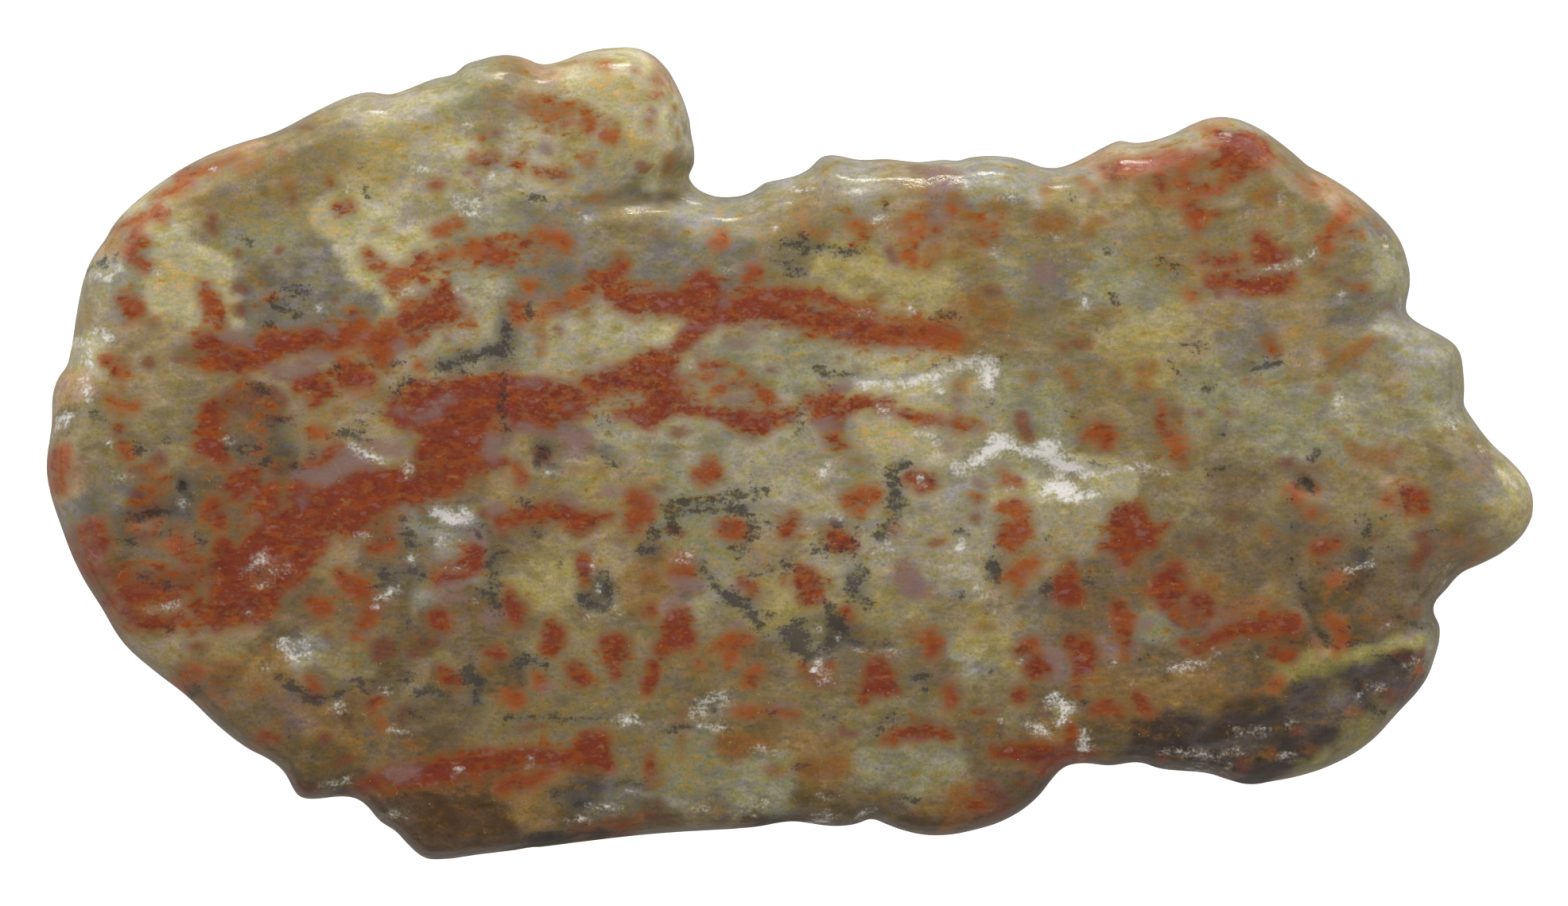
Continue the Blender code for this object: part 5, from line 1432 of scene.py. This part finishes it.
def hairlined(shader, colour, noises, place):
    """The colour with faint cracks and veins, along the borders of bent cells."""
    bend = shader.node("ShaderNodeTexNoise", {"Vector": place, "Scale": BEND_SCALE, "Detail": BEND_DETAIL})
    bent = shader.moved(place, shader.scaled(bend.outputs["Color"], HAIRLINE_BEND))
    for name, low, scale, width, strength, shade in HAIRLINES:
        gap = shader.cells(bent, scale, "DISTANCE_TO_EDGE", "Distance")
        line = shader.math("SUBTRACT", 1.0, shader.step(gap, 0.0, width))
        here = shader.step(noises[name], low, low + HAIRLINE_RISE, strength)
        colour = shader.mix(shader.math("MULTIPLY", line, here), colour, paint(shade))
    return colour


def specked(shader, colour, place):
    """The colour with scattered single grains, dark ones and pale ones."""
    for scale, size, rarity, strength, shade in SPECKS:
        gap = shader.cells(place, scale, "F1", "Distance")
        chance = shader.node("ShaderNodeSeparateColor", {0: shader.cells(place, scale, "F1", "Color")})
        rare = shader.step(chance.outputs[0], rarity, rarity + SPECK_RISE)
        grain = shader.math("SUBTRACT", 1.0, shader.step(gap, size * SPECK_CORE, size))
        share = shader.math("MULTIPLY", shader.math("MULTIPLY", grain, rare), strength)
        colour = shader.mix(share, colour, paint(shade))
    return colour


def polish(shader, colour, noises):
    """Tumble-polished stone: glossy, with a faintly uneven skin."""
    rough = shader.math("ADD", weighted(shader, noises, ROUGH_NOISES), ROUGHNESS)
    for name in ROUGH_KINDS:
        rough = shader.math("ADD", rough, shader.step(shader.kept(name), *ROUGH_EDGE))
    uneven = {"Strength": BUMP_STRENGTH, "Distance": BUMP_HEIGHT, "Height": weighted(shader, noises, BUMPS)}
    shader.fill("Principled BSDF", {
        "Base Color": colour,
        "IOR": STONE_IOR,
        "Specular IOR Level": STONE_SPECULAR,
        "Roughness": rough,
        "Normal": shader.node("ShaderNodeBump", uneven).outputs[0],
    })


# The stone, the floor, the light and the camera

def make_stone():
    mesh = refined_mesh(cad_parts[NODE])
    mark_stone(mesh)
    mesh.materials.append(stone_material())
    stone = bpy.data.objects.new("agatised_slab", mesh)
    bpy.context.scene.collection.objects.link(stone)
    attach(stone, BODY)
    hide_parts(NODE)


def floor_material():
    """White where the camera looks at it, and a dim grey card to the stone, so that its edges stay dark."""
    material = bpy.data.materials.new("pale_floor")
    shader = Nodes(material)
    shader.fill("Principled BSDF", {
        "Base Color": (FLOOR_SHADE, FLOOR_SHADE, FLOOR_SHADE, 1.0),
        "Roughness": 1.0,
        "Specular IOR Level": 0.0,
        "Emission Color": (1.0, 1.0, 1.0, 1.0),
        "Emission Strength": shader.node("ShaderNodeLightPath").outputs["Is Camera Ray"],
    })
    return material


def make_floor():
    mesh = bpy.data.meshes.new("floor")
    half = FLOOR_SIZE / 2
    corners = [(-half, -half, 0), (half, -half, 0), (half, half, 0), (-half, half, 0)]
    mesh.from_pydata(corners, [], [(0, 1, 2, 3)])
    mesh.materials.append(floor_material())
    floor = bpy.data.objects.new("floor", mesh)
    bpy.context.scene.collection.objects.link(floor)


def light_room():
    """A pale room, brighter beyond the stone's upper edge and dim overhead."""
    world = bpy.data.worlds.new("studio")
    room = Nodes(world)
    axes = room.node("ShaderNodeSeparateXYZ", {0: room.node("ShaderNodeTexCoord").outputs["Generated"]})
    overhead = room.step(axes.outputs["Z"], *ZENITH_RISE)
    light = room.math("MULTIPLY_ADD", overhead, ZENITH_LIGHT - WALL_LIGHT, WALL_LIGHT)
    tilt = room.math("MULTIPLY_ADD", axes.outputs["Y"], LIGHT_TILT, 1.0)
    room.fill("Background", {"Color": (*LIGHT_COLOUR, 1.0), "Strength": room.math("MULTIPLY", light, tilt)})
    bpy.context.scene.world = world


def add_lamp():
    """A low oblong lamp beyond the upper edge, aimed at the stone, which glints along its rim."""
    light = bpy.data.lights.new("key", "AREA")
    light.shape = "RECTANGLE"
    light.size, light.size_y = LAMP_SIZE
    light.energy = LAMP_POWER
    light.color = LIGHT_COLOUR
    lamp = bpy.data.objects.new("key", light)
    lamp.location = LAMP_PLACE
    lamp.rotation_euler = (-Vector(LAMP_PLACE)).to_track_quat("-Z", "Y").to_euler()
    bpy.context.scene.collection.objects.link(lamp)


def add_camera():
    """Straight above the stone, far enough off that the face isn't enlarged against the outline."""
    camera = bpy.data.cameras.new("camera")
    camera.sensor_width = SENSOR_WIDTH
    camera.lens = SENSOR_WIDTH * CAMERA_DISTANCE / (PHOTO_WIDTH * PIXEL)
    camera.clip_start = NEAREST_SEEN
    viewer = bpy.data.objects.new("camera", camera)
    across = MIDDLE_X + (PHOTO_WIDTH / 2 - OUTLINE_MIDDLE_X) * PIXEL
    up = (OUTLINE_MIDDLE_Y - PHOTO_HEIGHT / 2) * PIXEL
    viewer.location = (across, up, WAIST + CAMERA_DISTANCE)
    bpy.context.scene.collection.objects.link(viewer)
    bpy.context.scene.camera = viewer


make_stone()
make_floor()
light_room()
add_lamp()
add_camera()
bpy.context.scene.view_settings.view_transform = "Standard"
